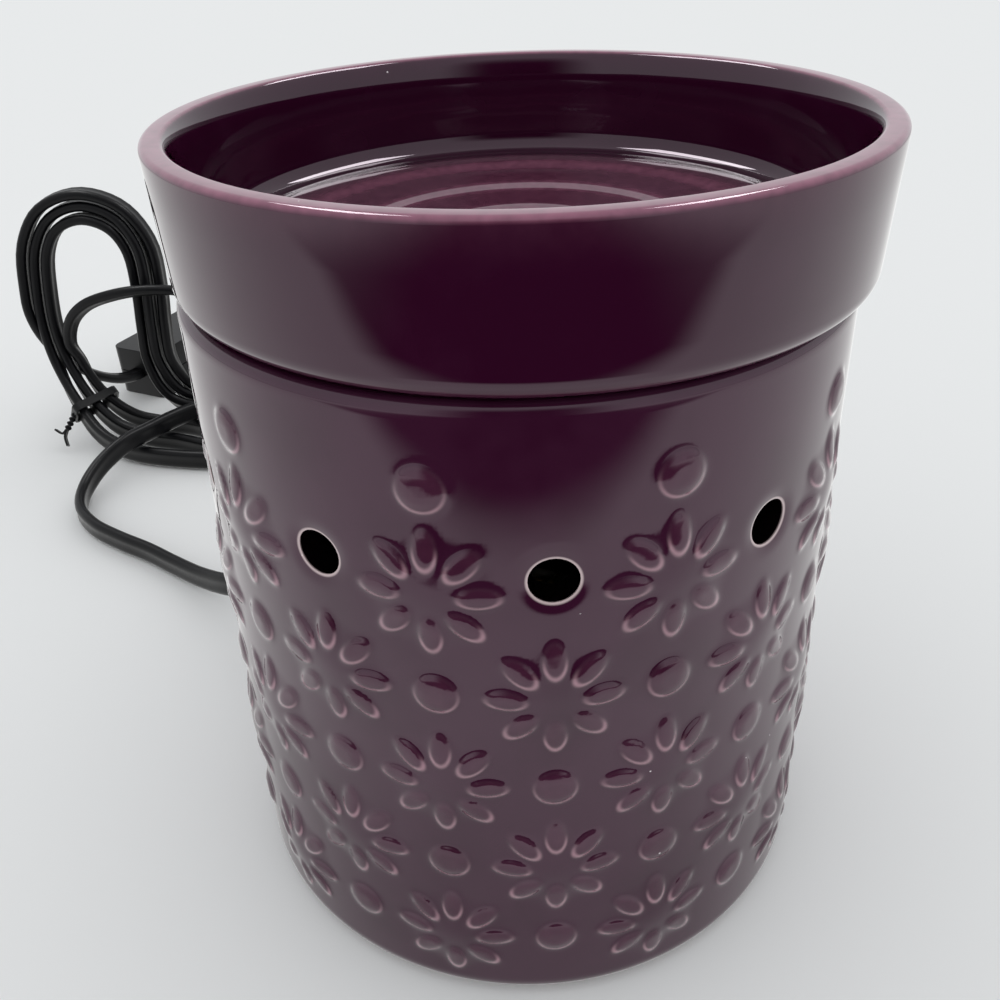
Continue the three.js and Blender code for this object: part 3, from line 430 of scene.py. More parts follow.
# %% [markdown]
# The rest of the flex is in a hank. Every loop goes up from the tie, over the top, down again and
# round on the table. One guide loop is drawn, and each turn lies one step further in than the last:
# loops drawn one by one would run into each other. The end leaves the tie in one high arch and comes
# down to the plug.

# %% Flex: the hank
HANK_START, HANK_END, HANK_TIE = 0.07, 3.0, 0.955
HANK_STEP, HANK_SWAY, SWAY_HEIGHT, SWAYS = 4.4, 3.0, 126.0, 1.4
LEAD_REACH, ARCH_REACH = 20.0, 12.0
PLUG_YAW, PLUG_END = 95, Vector((-76, 216, 8.7))
PLUG_WAY = level_way(PLUG_YAW)
TOP_X, TOP_Z, TOP_RADIUS = -156, 66, 18.0
FOLD_MIDDLE, FOLD_RADIUS = Vector((-96, 169, 4)), 20.0


def top_round(angle, y):
    way = Vector((math.cos(math.radians(angle)), 0, math.sin(math.radians(angle))))
    return Vector((TOP_X, y, TOP_Z)) + way * TOP_RADIUS, way * HANK_STEP


def table_fold(angle):
    way = level_way(angle)
    return FOLD_MIDDLE + way * FOLD_RADIUS, way * HANK_STEP


# Each place on the middle loop comes with its step to the next loop out.
HANK_GUIDE = [
    ((-173, 178.5, 27), (-HANK_STEP, -1, 0)), ((-176, 182, 41), (-HANK_STEP, 0, 0.2)),
    ((-176, 184.5, 55), (-HANK_STEP, 0, 0.4)),
    *[top_round(angle, y) for angle, y in ((165, 186.5), (128, 188), (90, 188.5), (52, 188), (15, 186.5))],
    ((-137.5, 184.5, 55), (HANK_STEP, 0, 0.4)), ((-138, 182.5, 41.5), (HANK_STEP, 0, 0)),
    ((-138, 181.5, 28), (4.5, 0.4, 0)), ((-133.5, 181.5, 15.5), (4.6, 2.4, 0)),
    ((-125, 183.5, 7.6), (1.2, 5.2, 0)), ((-112, 187, 4.3), (0, 4.6, 0)),
    *[table_fold(angle) for angle in (90, 54, 18, -18, -54, -90)],
    ((-114, 150.5, 4), (-0.3, -8.5, 0)), ((-129, 155, 4), (-1, -12, 0)), ((-143, 159, 4.2), (-3, -11, 0)),
    ((-155.5, 164.5, 7), (-4, -7.5, 0)), ((-165.5, 171.5, 15), (-4.2, -3.2, 0)),
]
ARCH_ROUTE = [
    (-169, 179.5, 36), (-165.5, 177.5, 45.5), (-158, 175.5, 52.5), (-147, 174.5, 56.5), (-134, 175, 58),
    (-120.5, 177.5, 56), (-108, 181, 49.5), (-97, 184.5, 40), (-88, 188, 29), (-81.8, 192.3, 19),
    (-77.6, 197.8, 12),
]
hank_line = smooth_line([Vector(place) for place, _ in HANK_GUIDE], closed=True)
hank_step = smooth_line([Vector(step) for _, step in HANK_GUIDE], closed=True)
hank_middle = (HANK_START + HANK_END) / 2


def hank_at(turns):
    share = turns % 1.0
    forward = heading(hank_line, share)
    step = hank_step(share)
    step = step - forward * step.dot(forward)
    wide = forward.cross(step).normalized()
    from_tie = math.sin(math.pi * (share - HANK_TIE)) ** 2
    lift = max(0.0, min(1.0, hank_line(share).z / SWAY_HEIGHT))
    sway = HANK_SWAY * from_tie * lift * math.sin(2 * math.pi * (SWAYS * turns + share))
    return hank_line(share) + step * (hank_middle - turns) + wide * sway, wide, forward


def bezier(a, b, c, d, share):
    rest = 1 - share
    return a * rest**3 + b * (3 * rest**2 * share) + c * (3 * rest * share**2) + d * share**3


LEAD_STEPS, LOOP_STEPS, ARCH_STEPS = 28, 120, 72
hank_centres, hank_widths = [], []
first, first_wide, first_way = hank_at(HANK_START)
level = Vector((SWITCH_WAY.y, -SWITCH_WAY.x, 0))
for i in range(LEAD_STEPS):
    share = i / LEAD_STEPS
    knots = (switch_near, switch_near - SWITCH_WAY * LEAD_REACH, first - first_way * LEAD_REACH, first)
    hank_centres.append(bezier(*knots, share))
    hank_widths.append(level.lerp(first_wide, share))
count = round((HANK_END - HANK_START) * LOOP_STEPS)
for i in range(count + 1):
    centre, wide, _ = hank_at(HANK_START + (HANK_END - HANK_START) * i / count)
    hank_centres.append(centre)
    hank_widths.append(wide)
last, last_wide, last_way = hank_at(HANK_END)
lying = Vector((-PLUG_WAY.y, PLUG_WAY.x, 0))
arch_route = [last - last_way * ARCH_REACH, last, *[Vector(place) for place in ARCH_ROUTE]]
arch_route += [PLUG_END - PLUG_WAY * ARCH_REACH, PLUG_END]
arch_line = smooth_line(arch_route)
arch_start = 1 / (len(arch_route) - 1)
for i in range(1, ARCH_STEPS + 1):
    share = i / ARCH_STEPS
    hank_centres.append(arch_line(arch_start + (1 - arch_start) * share))
    hank_widths.append(last_wide.lerp(lying, share))
hank_centres = [centre * MM for centre in hank_centres]
hank_length = line_length(hank_centres)
flex_hank = seat(sweep("flex_hank", hank_centres, hank_widths, twin, flex_finish), "cord_hank")
print("hank:", round(hank_length, 3), "m")

# %% [markdown]
# Turned pieces, such as the ceramic, the bush and the bulb, start as half a cross-section that is
# spun round the axis. The helper below lays the outline down as an edge chain and spins it.

# %% Turned pieces


def arc(radius, height, round_radius, start, end, steps):
    found = []
    for i in range(steps + 1):
        angle = math.radians(start + (end - start) * i / steps)
        found.append((radius + round_radius * math.cos(angle), height + round_radius * math.sin(angle)))
    return found


def spun(outline, steps, closed=True):
    """A bmesh of the outline, (radius, height) in millimetres, spun once round Z."""
    bm = bmesh.new()
    chain = [bm.verts.new((radius * MM, 0, height * MM)) for radius, height in outline]
    pairs = list(zip(chain, chain[1:])) + ([(chain[-1], chain[0])] if closed else [])
    edges = [bm.edges.new(pair) for pair in pairs]
    bmesh.ops.spin(
        bm, geom=chain + edges, cent=(0, 0, 0), axis=(0, 0, 1), angle=2 * math.pi, steps=steps, use_merge=True
    )
    bmesh.ops.remove_doubles(bm, verts=bm.verts, dist=1e-7)
    bmesh.ops.dissolve_degenerate(bm, edges=bm.edges, dist=1e-8)
    bmesh.ops.recalc_face_normals(bm, faces=bm.faces)
    return bm


def turned_place(vert):
    """Radius in millimetres, angle in degrees and height in millimetres of a point."""
    angle = math.degrees(math.atan2(vert.co.y, vert.co.x))
    return math.hypot(vert.co.x, vert.co.y) / MM, angle, vert.co.z / MM


def smooth_by_angle(made, angle):
    made.data.shade_smooth()
    made.data.set_sharp_from_angle(angle=math.radians(angle))
    return made


print("turned pieces ready")

# %% [markdown]
# The body is a slip-cast ceramic tube with ten round vents. Its relief is a lattice of eight-petalled
# flowers and dots that take turns like a chessboard's squares, raised about a millimetre. The mesh and
# the glaze use the same formulas for it, so that the pale edges fall on the raised forms. Row 1 is the
# top row of flowers, level with the vents.

# %% Body: lattice and relief
BODY_HEIGHT, BODY_TOP, BODY_FLARE, BODY_WALL = 126.0, 58.0, 2.0, 5.0
FOOT_LIFT, FOOT_ROUND, TOP_ROUND = 0.7, 4.0, 2.0
LEDGE_TOP, LEDGE_UNDER, LEDGE_REACH = 8.5, 4.5, 7.0
VENT_HEIGHT, VENT_RADIUS, VENT_DISH, VENT_SINK, VENT_REACH = 98.0, 3.85, 2.6, 0.4, 6.5
BUSH_FLANGE = 8.0
COLUMN_ANGLE, FIRST_COLUMN = 18.0, -85.6
COLUMN_TURN = math.radians(COLUMN_ANGLE)
TOP_DOTS, FIRST_ROW, LAST_ROW = 0, 1, 5
TOP_DOTS_HEIGHT, FIRST_ROW_HEIGHT, ROW_GAP = 112.85, 95.5, 19.33
PETAL_TURN, PETAL_MIDDLE, PETAL_LENGTH, PETAL_HALF = math.radians(45), 7.6, 3.9, 2.15
PETAL_RISE, DOME_RISE, DOME_RADIUS = 0.44, 1.0, 10.5
DOT_RISE, DOT_RADIUS = 0.7, 3.95
SWELL_START, SWELL_FOOT = 0.42, 1.15


PLAIN_MATHS = {
    "SQRT": math.sqrt, "ARCTAN2": math.atan2, "SINE": math.sin, "COSINE": math.cos, "ROUND": round,
    "ABSOLUTE": abs, "PINGPONG": lambda whole, scale: whole % 2,
}


def plain_maths(operation, *values):
    return PLAIN_MATHS[operation](*values)


def length(maths, a, b):
    return maths("SQRT", a * a + b * b)


def body_outer(z):
    return BODY_TOP + BODY_FLARE * (1 - z * (1 / BODY_HEIGHT))


def lattice(maths, columns, z):
    """The nearest petal and dot: distance, depth below its middle, and whether it is there at all.

    The point is given in columns and in height, as plain numbers or as readings of a finish.
    """
    wall_column = body_outer(z) * COLUMN_TURN
    rows = FIRST_ROW + (FIRST_ROW_HEIGHT - z) * (1 / ROW_GAP)
    left, right = maths("ROUND", (columns + rows) * 0.5), maths("ROUND", (columns - rows) * 0.5)
    flower_row = left - right
    along, rise = (columns - left - right) * wall_column, (flower_row - rows) * ROW_GAP
    radius, bearing = length(maths, along, rise), maths("ARCTAN2", rise, along)
    middle = maths("ROUND", bearing * (1 / PETAL_TURN)) * PETAL_TURN
    off = bearing - middle
    lengthwise = (radius * maths("COSINE", off) - PETAL_MIDDLE) * (1 / PETAL_LENGTH)
    petal = length(maths, lengthwise, radius * maths("SINE", off) * (1 / PETAL_HALF))
    below_petal = maths("SINE", middle) * PETAL_MIDDLE - rise
    in_flower = (flower_row > FIRST_ROW - 0.5) * (flower_row < LAST_ROW + 0.5)

    column, row = maths("ROUND", columns), maths("ROUND", rows)
    along, rise = (columns - column) * wall_column, (row - rows) * ROW_GAP
    rise = rise + (row < TOP_DOTS + 0.5) * (FIRST_ROW_HEIGHT + ROW_GAP - TOP_DOTS_HEIGHT)
    dot = length(maths, along, rise) * (1 / DOT_RADIUS)
    in_dot = (maths("ABSOLUTE", row - FIRST_ROW) > 0.5) * (row < LAST_ROW + 0.5)
    in_dot = in_dot * maths("PINGPONG", column + row, 1.0)
    return (radius, petal, below_petal, in_flower), (dot, -1 * rise, in_dot)


def smooth_step(value):
    value = max(0.0, min(1.0, value))
    return value * value * (3 - 2 * value)


def swell(distance):
    """Height of a raised shape, 1 in its middle, with a soft foot. The finish adds the crisp edge."""
    return 1 - smooth_step((distance - SWELL_START) / (SWELL_FOOT - SWELL_START))


def relief(angle, z):
    """Height of the relief in millimetres: petals on a low mound, and dots."""
    columns = (angle - FIRST_COLUMN) / COLUMN_ANGLE
    (radius, petal, _, in_flower), (dot, _, in_dot) = lattice(plain_maths, columns, z)
    mound = max(0.0, 1 - (radius / DOME_RADIUS) ** 2) ** 2
    return in_flower * (DOME_RISE * mound + PETAL_RISE * swell(petal)) + in_dot * DOT_RISE * swell(dot)


def vent_offset(angle, z):
    column = round((angle - FIRST_COLUMN) / (2 * COLUMN_ANGLE))
    along = math.radians(angle - FIRST_COLUMN - column * 2 * COLUMN_ANGLE) * body_outer(z)
    return column % 10, along, z - VENT_HEIGHT


print("rows of flowers:", LAST_ROW - FIRST_ROW + 1)

# %% [markdown]
# The tube is spun as a fine grid, and the relief is raised by moving its points outwards. The real
# relief is cast in one with the wall, and petals joined on one by one would leave a seam round each.

# %% Body: the grid
BODY_STEPS, ROW_STEP, MOUTH_ROUND = 480, 0.79, 1.2
row_low, row_high = FOOT_LIFT + FOOT_ROUND, BODY_HEIGHT - TOP_ROUND
row_count = round((row_high - row_low) / ROW_STEP)
rows = [row_low + (row_high - row_low) * i / row_count for i in range(row_count + 1)]
vent_rows = [z for z in rows if abs(z - VENT_HEIGHT) < VENT_REACH]
inner_rows = (115, *reversed(vent_rows), 80, 60, 40, 20, LEDGE_TOP)
mouth = body_outer(BODY_HEIGHT) - BODY_WALL
ledge_edge = body_outer(LEDGE_TOP) - BODY_WALL - LEDGE_REACH
outline = arc(body_outer(row_low) - FOOT_ROUND, row_low, FOOT_ROUND, -90, 0, 6)[:-1]
outline += [(body_outer(z), z) for z in rows]
outline += arc(body_outer(row_high) - TOP_ROUND, row_high, TOP_ROUND, 0, 90, 5)[1:]
outline += arc(mouth + MOUTH_ROUND, BODY_HEIGHT - MOUTH_ROUND, MOUTH_ROUND, 90, 180, 3)
outline += [(body_outer(z) - BODY_WALL, z) for z in inner_rows]
outline += [(ledge_edge, LEDGE_TOP), (ledge_edge, LEDGE_UNDER)]
outline += [(body_outer(z) - BODY_WALL, z) for z in (LEDGE_UNDER, FOOT_LIFT)]
bm = spun(outline, BODY_STEPS)
# Per point: above zero the glaze is thin or a painted reflection is marked, below zero the point gets painted
# shade.
thin_and_painted_light = bm.verts.layers.float.new("glaze_thin_and_painted_light")
for vert in bm.verts:
    radius, angle, z = turned_place(vert)
    if radius < body_outer(z) - 0.5 * BODY_WALL or not row_low < z < row_high:
        continue
    height = relief(angle, z)
    bush_off = math.hypot(math.radians(angle - CORD_ANGLE) * radius, z - CORD_EXIT_HEIGHT)
    height *= smooth_step((bush_off - BUSH_FLANGE) / 2)
    _, along, rise = vent_offset(angle, z)
    beyond = math.hypot(along, rise) - VENT_RADIUS
    if beyond < VENT_DISH:
        height = -VENT_SINK * max(0.0, min(1.0, 1 - beyond / VENT_DISH)) ** 2
    vert.co.xy *= (radius + height) / radius
print("body grid:", len(bm.verts), "points")

# %% [markdown]
# The vents are round holes through the wall. A boolean cut would leave long thin faces in the relief,
# so faces are taken out, the edges are drawn to a circle and the outer rim is bridged to the inner one.

# %% Body: the vents
VENT_LIP, VENT_SHADE, VENT_NEAR, VENT_CLEAR = 0.5, -1.0, 8.0, 0.25
keep_out = VENT_RADIUS + VENT_CLEAR
in_vent = {}
for vert in bm.verts:
    _, angle, z = turned_place(vert)
    if abs(z - VENT_HEIGHT) <= VENT_NEAR:
        in_vent[vert] = vent_offset(angle, z)
opened = [
    face for face in bm.faces
    if all(v in in_vent and math.hypot(*in_vent[v][1:]) < keep_out for v in face.verts)
]
bmesh.ops.delete(bm, geom=opened, context="FACES")
rims = {}
for edge in bm.edges:
    if edge.is_boundary:
        vent = in_vent[edge.verts[0]][0]
        rims.setdefault(vent, []).append(edge)
for vent, edges in rims.items():
    middle_angle = FIRST_COLUMN + 2 * COLUMN_ANGLE * vent
    for vert in {v for edge in edges for v in edge.verts}:
        _, along, rise = in_vent[vert]
        scale = VENT_RADIUS / math.hypot(along, rise)
        z = VENT_HEIGHT + rise * scale
        inside = turned_place(vert)[0] < body_outer(z) - 0.6 * BODY_WALL
        radius = body_outer(z) - (BODY_WALL if inside else VENT_SINK)
        angle = middle_angle + math.degrees(along * scale / body_outer(z))
        vert.co = (level_way(angle) * radius + UP * z) * MM
        # Points inside the wall are marked for painted shade, which the finish paints almost black.
        vert[thin_and_painted_light] = VENT_SHADE if inside else 0.0
    outside = [edge for edge in edges if edge.verts[0][thin_and_painted_light] == 0]
    inner = [edge for edge in edges if edge.verts[0][thin_and_painted_light] < 0]
    drawn = bmesh.ops.extrude_edge_only(bm, edges=outside)["geom"]
    moved = [item for item in drawn if isinstance(item, bmesh.types.BMVert)]
    bmesh.ops.translate(bm, verts=moved, vec=level_way(middle_angle) * -VENT_LIP * MM)
    for vert in moved:
        vert[thin_and_painted_light] = VENT_SHADE
    drawn_edges = [item for item in drawn if isinstance(item, bmesh.types.BMEdge)]
    bmesh.ops.bridge_loops(bm, edges=drawn_edges + inner)
bmesh.ops.recalc_face_normals(bm, faces=bm.faces)
print("vents:", len(rims), "open edges left:", sum(e.is_boundary for e in bm.edges))

# %% [markdown]
# The glaze is a deep plum glass over the clay. It runs thin on every edge, where the paler mauve of the
# clay shows through. Below a petal or a dot the pale edge is stronger, a painted reflection of the table;
# round a vent the thin edge carries a painted highlight; inside a vent the wall is painted shade, almost
# black. Its own reflection does the rest, so the base colour is very dark and the surface very smooth,
# with a faint ripple. The finish also gives the relief its crisp edge.

# %% Glaze
GLAZE_DEEP, GLAZE_BODY = colour(0.025, 0.0022, 0.0135), colour(0.036, 0.0070, 0.022)
# The pale colour is thin glaze, and also the colour of the painted reflections and highlights.
PALE_GLAZE_AND_HIGHLIGHT = colour(0.30, 0.11, 0.17)
# The reflection tint is painted light: pink, for the extra light that the sides of the warmer get.
GLAZE_SHINE = colour(1.0, 0.86, 0.96)
BARE_CLAY = colour(0.55, 0.47, 0.42)
# The pale rim colour is thin glaze with a painted highlight; the vent colour is painted shade, almost black.
PALE_RIM_AND_HIGHLIGHT, VENT_SHADE_COLOUR = colour(0.62, 0.50, 0.50), colour(0.002, 0.001, 0.0015)
PALE_SPECK = colour(0.75, 0.70, 0.72)
CLOUD_SCALE, RIPPLE_SCALE, PALE_SCALE, SPECK_SCALE, PATCH_SCALE = 55.0, 70.0, 420.0, 260.0, 90.0
RIPPLE, RELIEF_EDGE = 0.06 * MM, 0.17 * MM
PETAL_EDGE, DOT_EDGE = (0.5, 1.1), (0.72, 1.08)
# Relief edges: the upper edges keep little of the pale edge paint; below each shape it is a painted
# reflection, with a painted highlight.
UPPER_EDGE, RAISED_WEAR, EDGE_THIN_AND_HIGHLIGHT, EDGE_HIGHLIGHT = 0.05, 0.24, 0.85, 0.22
RIM_START, RIM_END, RIM_STRENGTH = 0.15, 0.55, 0.8
CLOUD_SPREAD, PALE_LEAST, PALE_SPREAD, PALE_FULL, SHADE_FULL = 0.35, 0.55, 0.6, 1.4, 0.6
SPECK_SIZE, SPECK_PATCH, SPECK_STRENGTH = 0.05, 0.62, 0.8
BARE_FOOT, BARE_ROUGHNESS, BODY_ROUGHNESS = (0.75 * MM, 1.3 * MM), 0.6, 0.045


def lattice_marks(finish):
    """Height of the relief with sharp edges, from 0 to 1, its pale edges (thin glaze, with a painted
    reflection below each shape), and millimetres from a vent.
    """

    def maths(operation, *values):
        return finish.node("ShaderNodeMath", {"operation": operation}, values)

    # The pale edge: thin glaze all round, most of it on the lower side, where it is a painted reflection of
    # the table.
    def pale_edge(raised, below_middle, half):
        edge = 4 * raised * (1 - raised)
        return edge * edge * (UPPER_EDGE + (1 - UPPER_EDGE) * below_middle.step(-0.5 * half, half))

    x, y, z = [finish.axis(i) * (1 / MM) for i in range(3)]
    columns = (maths("ARCTAN2", y, x) - math.radians(FIRST_COLUMN)) * (1 / COLUMN_TURN)
    (_, petal, below_petal, in_flower), (dot, below_dot, in_dot) = lattice(maths, columns, z)
    petals = (1 - petal.step(*PETAL_EDGE)) * in_flower
    dots = (1 - dot.step(*DOT_EDGE)) * in_dot
    edges = pale_edge(petals, below_petal, PETAL_HALF) + pale_edge(dots, below_dot, DOT_RADIUS)
    vent_turns = columns * 0.5
    vent_along = (vent_turns - maths("ROUND", vent_turns)) * body_outer(z) * (2 * COLUMN_TURN)
    outside = (length(maths, x, y) - body_outer(z)) > -0.5 * BODY_WALL
    return (petals + dots) * outside, edges * outside, length(maths, vent_along, z - VENT_HEIGHT)


def plum_glaze(name, dark_share, on_body):
    finish = Finish(name, IOR=1.52, Roughness=0.04, Specular_Tint=GLAZE_SHINE)
    cloud = finish.noise(CLOUD_SCALE, 3.0)
    shade = finish.mix(cloud.step(dark_share, dark_share + CLOUD_SPREAD), GLAZE_DEEP, GLAZE_BODY)
    thin_and_painted_light = finish.attribute("glaze_thin_and_painted_light")
    surface = finish.noise(RIPPLE_SCALE, 1.0) * RIPPLE
    if on_body:
        raised, edges, from_vent = lattice_marks(finish)
        # Raised forms are paler where the glaze runs thin; their edges add a painted reflection below them.
        thin_and_painted_light = thin_and_painted_light + RAISED_WEAR * raised + EDGE_THIN_AND_HIGHLIGHT * edges
        surface = surface + raised * RELIEF_EDGE
    # Paler where the glaze is thin and where painted reflections are marked, varied a little at random.
    pale_and_highlight = thin_and_painted_light * (PALE_LEAST + PALE_SPREAD * finish.noise(PALE_SCALE, 2.0))
    shade = finish.mix(pale_and_highlight.step(0.0, PALE_FULL), shade, PALE_GLAZE_AND_HIGHLIGHT)
    specks = finish.cells(SPECK_SCALE) < SPECK_SIZE
    sparse = finish.noise(PATCH_SCALE, 1.0) > SPECK_PATCH
    shade = finish.mix(specks * sparse * SPECK_STRENGTH, shade, PALE_SPECK)
    if on_body:
        # Painted highlight: a pale ring round each vent, over the thin glaze of its edge, and pale crescents
        # on the lower edges of the relief.
        rim = 1 - from_vent.step(VENT_RADIUS + RIM_START, VENT_RADIUS + RIM_END)
        shade = finish.mix(rim * RIM_STRENGTH + edges * EDGE_HIGHLIGHT, shade, PALE_RIM_AND_HIGHLIGHT)
        bare = 1 - finish.axis(2).step(*BARE_FOOT)
        shade = finish.mix(bare, shade, BARE_CLAY)
        finish.set(Roughness=BODY_ROUGHNESS + BARE_ROUGHNESS * bare)
    # Painted shade: inside each vent the wall is painted almost black.
    shade = finish.mix((-1 * thin_and_painted_light).step(0.0, SHADE_FULL), shade, VENT_SHADE_COLOUR)
    finish.set(Base_Color=shade, Normal=finish.bump(surface, 1.0, 1.0))
    return finish


body_glaze = plum_glaze("body_glaze", 0.25, True)
body = seat(smooth_by_angle(new_object("ceramic_body", bm, body_glaze), 50), "body_shell")
print("body faces:", len(body.data.polygons))

# %% [markdown]
# The dish is a second casting. It rests loosely on the rim of the body, a little to one side, with
# a ring below that keeps it from sliding off. Its lip is pale and nearly flat on top, and its floor
# goes down in three soft steps. All of it is round, so it is spun from one outline, and each point
# keeps how pale it is painted there: thin glaze on the lip and the lower corner, a paler floor, and a
# painted reflection of the ceiling on the step edges.

# %% Dish
DISH_UNDER, DISH_HEIGHT, DISH_WALL = 126.3, 24.3, 4.8
DISH_FOOT, DISH_FLARE, DISH_CORNER, DISH_COVE = 59.2, 0.8, 3.5, 4.0
DISH_FLOOR, STEP_DROP, STEP_HALF = 5.0, 0.8, 2.2
STEP_RADII = (17.0, 30.0, 43.0)
SPIGOT_RADIUS, SPIGOT_WALL, SPIGOT_HEIGHT = 50.6, 4.0, 5.0
FLOOR_EDGE, FLOOR_STEP, FLOOR_RINGS = 49.0, 0.7, 70
DISH_SHIFT, DISH_STEPS = 1.4, 240


def floor_height(radius):
    rise = sum(smooth_step((radius - step + STEP_HALF) / (2 * STEP_HALF)) for step in STEP_RADII)
    return DISH_UNDER + DISH_FLOOR + STEP_DROP * (rise - len(STEP_RADII))


def dish_outer(z):
    return DISH_FOOT + DISH_FLARE * (z - DISH_UNDER) / DISH_HEIGHT


LIP_ROUND, LIP_FLAT, LIP_SLOPE = 1.0, 2.0, 5.5
LIP_WEAR, CORNER_WEAR, FLOOR_PALE, STEP_REFLECTION = 1.15, 0.35, 0.5, 0.25
LIP_REACH_OUT, LIP_REACH_IN, CORNER_REACH, CORNER_RISE = 1.4, 0.6, 3, 1.2
WALL_ROWS = (133, 138, 143)
lip_top = DISH_UNDER + DISH_HEIGHT
corner = DISH_UNDER + DISH_CORNER
cove = DISH_UNDER + DISH_FLOOR + DISH_COVE
cove_radius = dish_outer(cove) - DISH_WALL - DISH_COVE
outline = [(0, DISH_UNDER), (30, DISH_UNDER), (SPIGOT_RADIUS - SPIGOT_WALL - 1, DISH_UNDER)]
outline += arc(SPIGOT_RADIUS - SPIGOT_WALL + 1, DISH_UNDER - SPIGOT_HEIGHT + 1, 1, 180, 270, 3)
outline += arc(SPIGOT_RADIUS - 1, DISH_UNDER - SPIGOT_HEIGHT + 1, 1, 270, 360, 3)
outline += [(SPIGOT_RADIUS, DISH_UNDER - 0.8), (SPIGOT_RADIUS + 0.8, DISH_UNDER)]
outline += arc(dish_outer(corner) - DISH_CORNER, corner, DISH_CORNER, -90, 0, 8)
outline += [(dish_outer(z), z) for z in WALL_ROWS]
lip_outer = dish_outer(lip_top)
lip_inner = lip_outer - LIP_ROUND - LIP_FLAT
slope_foot = lip_top - LIP_SLOPE
slope_reach = lip_inner - dish_outer(slope_foot) + DISH_WALL
outline += arc(lip_outer - LIP_ROUND, lip_top - LIP_ROUND, LIP_ROUND, 0, 90, 7)
outline += [(lip_inner + x * slope_reach, slope_foot + z * LIP_SLOPE) for x, z in arc(0, 0, 1, 90, 180, 12)]
outline += [(dish_outer(z) - DISH_WALL, z) for z in reversed(WALL_ROWS[1:])]
outline += arc(cove_radius, cove, DISH_COVE, 0, -90, 8)
floor_radii = [FLOOR_EDGE - i * FLOOR_STEP for i in range(1, FLOOR_RINGS)] + [0]
outline += [(radius, floor_height(radius)) for radius in floor_radii]
bm = spun(outline, DISH_STEPS, closed=False)
thin_and_painted_light = bm.verts.layers.float.new("glaze_thin_and_painted_light")
for vert in bm.verts:
    radius, _, z = turned_place(vert)
    lip_reach = LIP_REACH_OUT if radius > lip_inner else LIP_REACH_IN
    pale_here = LIP_WEAR * smooth_step((z - lip_top) / lip_reach + 1)
    if radius > DISH_FOOT - CORNER_REACH:
        pale_here = max(pale_here, CORNER_WEAR * math.exp(-((z - DISH_UNDER - CORNER_RISE) ** 2)))
    # The floor is painted paler, and its step edges carry a painted reflection of the ceiling.
    if radius < cove_radius and z > DISH_UNDER + 1:
        on_step = max(math.exp(-(((radius - step) / 2) ** 2)) for step in STEP_RADII)
        pale_here = max(pale_here, FLOOR_PALE + STEP_REFLECTION * on_step)
    vert[thin_and_painted_light] = pale_here
bmesh.ops.translate(bm, verts=bm.verts, vec=(DISH_SHIFT * MM, 0, 0))
# The dish gets more of the darkest tone than the body: painted shade for the weak light on its front.
dish_glaze = plum_glaze("dish_glaze", 0.5, False)
dish = seat(smooth_by_angle(new_object("wax_dish_glazed", bm, dish_glaze), 60), "wax_dish")
print("dish faces:", len(dish.data.polygons))

# %% [markdown]
# Inside and behind are plain bought-in parts: plated steel, brass, porcelain, rubber and moulded
# plastic. Each metal and moulded finish has a fine grain that changes its tone and its gloss a little.

# %% Finishes of the small parts
METAL_GRAIN, MOULDED_GRAIN = 700.0, 1800.0


def metal(name, tone, roughness):
    finish = Finish(name, Metallic=1.0)
    grain = finish.noise(METAL_GRAIN, 3.0)
    finish.set(Base_Color=finish.mix(grain, colour(*(t * 0.8 for t in tone)), colour(*tone)))
    finish.set(Roughness=roughness + 0.15 * grain)
    return finish


def moulded(name, tone, roughness, gloss=0.5):
    finish = Finish(name, Specular_IOR_Level=gloss)
    grain = finish.noise(MOULDED_GRAIN, 3.0)
    finish.set(Base_Color=finish.mix(grain, colour(*(t * 0.75 for t in tone)), colour(*tone)))
    finish.set(Roughness=roughness + 0.12 * grain)
    finish.set(Normal=finish.bump(grain, 0.15, 0.0002))
    return finish


glass_finish = Finish("bulb_clear_glass", Base_Color=colour(1, 1, 1), Roughness=0.0, IOR=1.46)
glass_finish.set(Transmission_Weight=1.0)
finishes = {
    "zinc_steel": metal("zinc_plate", (0.62, 0.63, 0.62), 0.28),
    "brass": metal("plain_brass", (0.62, 0.44, 0.17), 0.25),
    "foot_rubber": moulded("foot_rubber", (0.035, 0.035, 0.035), 0.7),
    "bulb_glass": glass_finish,
    "filament_wire": metal("tungsten", (0.32, 0.30, 0.28), 0.4),
    "flex_sheath": flex_finish,
    "black_plastic": moulded("switch_plastic", (0.006, 0.006, 0.007), 0.3, 0.16),
    "base_sheet": moulded("base_paint", (0.05, 0.04, 0.045), 0.45),
    "holder_ceramic": moulded("white_porcelain", (0.75, 0.72, 0.66), 0.3),
    "bush_rubber": moulded("bush_rubber", (0.008, 0.008, 0.008), 0.45, 0.2),
}
print("finishes:", ", ".join(finishes))

# %% [markdown]
# Round parts are turned: an outline with its corners eased is spun round the part's own axis. Cut
# and stamped parts keep their solid's shape: a copy is welded, its flat faces are joined up again,
# and a narrow bevel catches the light on its edges.

# %% Turned and cut parts: the helpers


def eased(outline, ease, closed=False):
    """The outline with a small round at every corner that has two neighbours."""
    found = []
    count = len(outline)
    for i, point in enumerate(outline):
        if not closed and i in (0, count - 1):
            found.append(point)
            continue
        here = Vector(point)
        before, after = Vector(outline[i - 1]) - here, Vector(outline[(i + 1) % count]) - here
        reach = min(ease, before.length * 0.45, after.length * 0.45)
        start, end = here + before.normalized() * reach, here + after.normalized() * reach
        for share in (0.0, 0.33, 0.67, 1.0):
            found.append(tuple(start.lerp(here, share).lerp(here.lerp(end, share), share)))
    return found


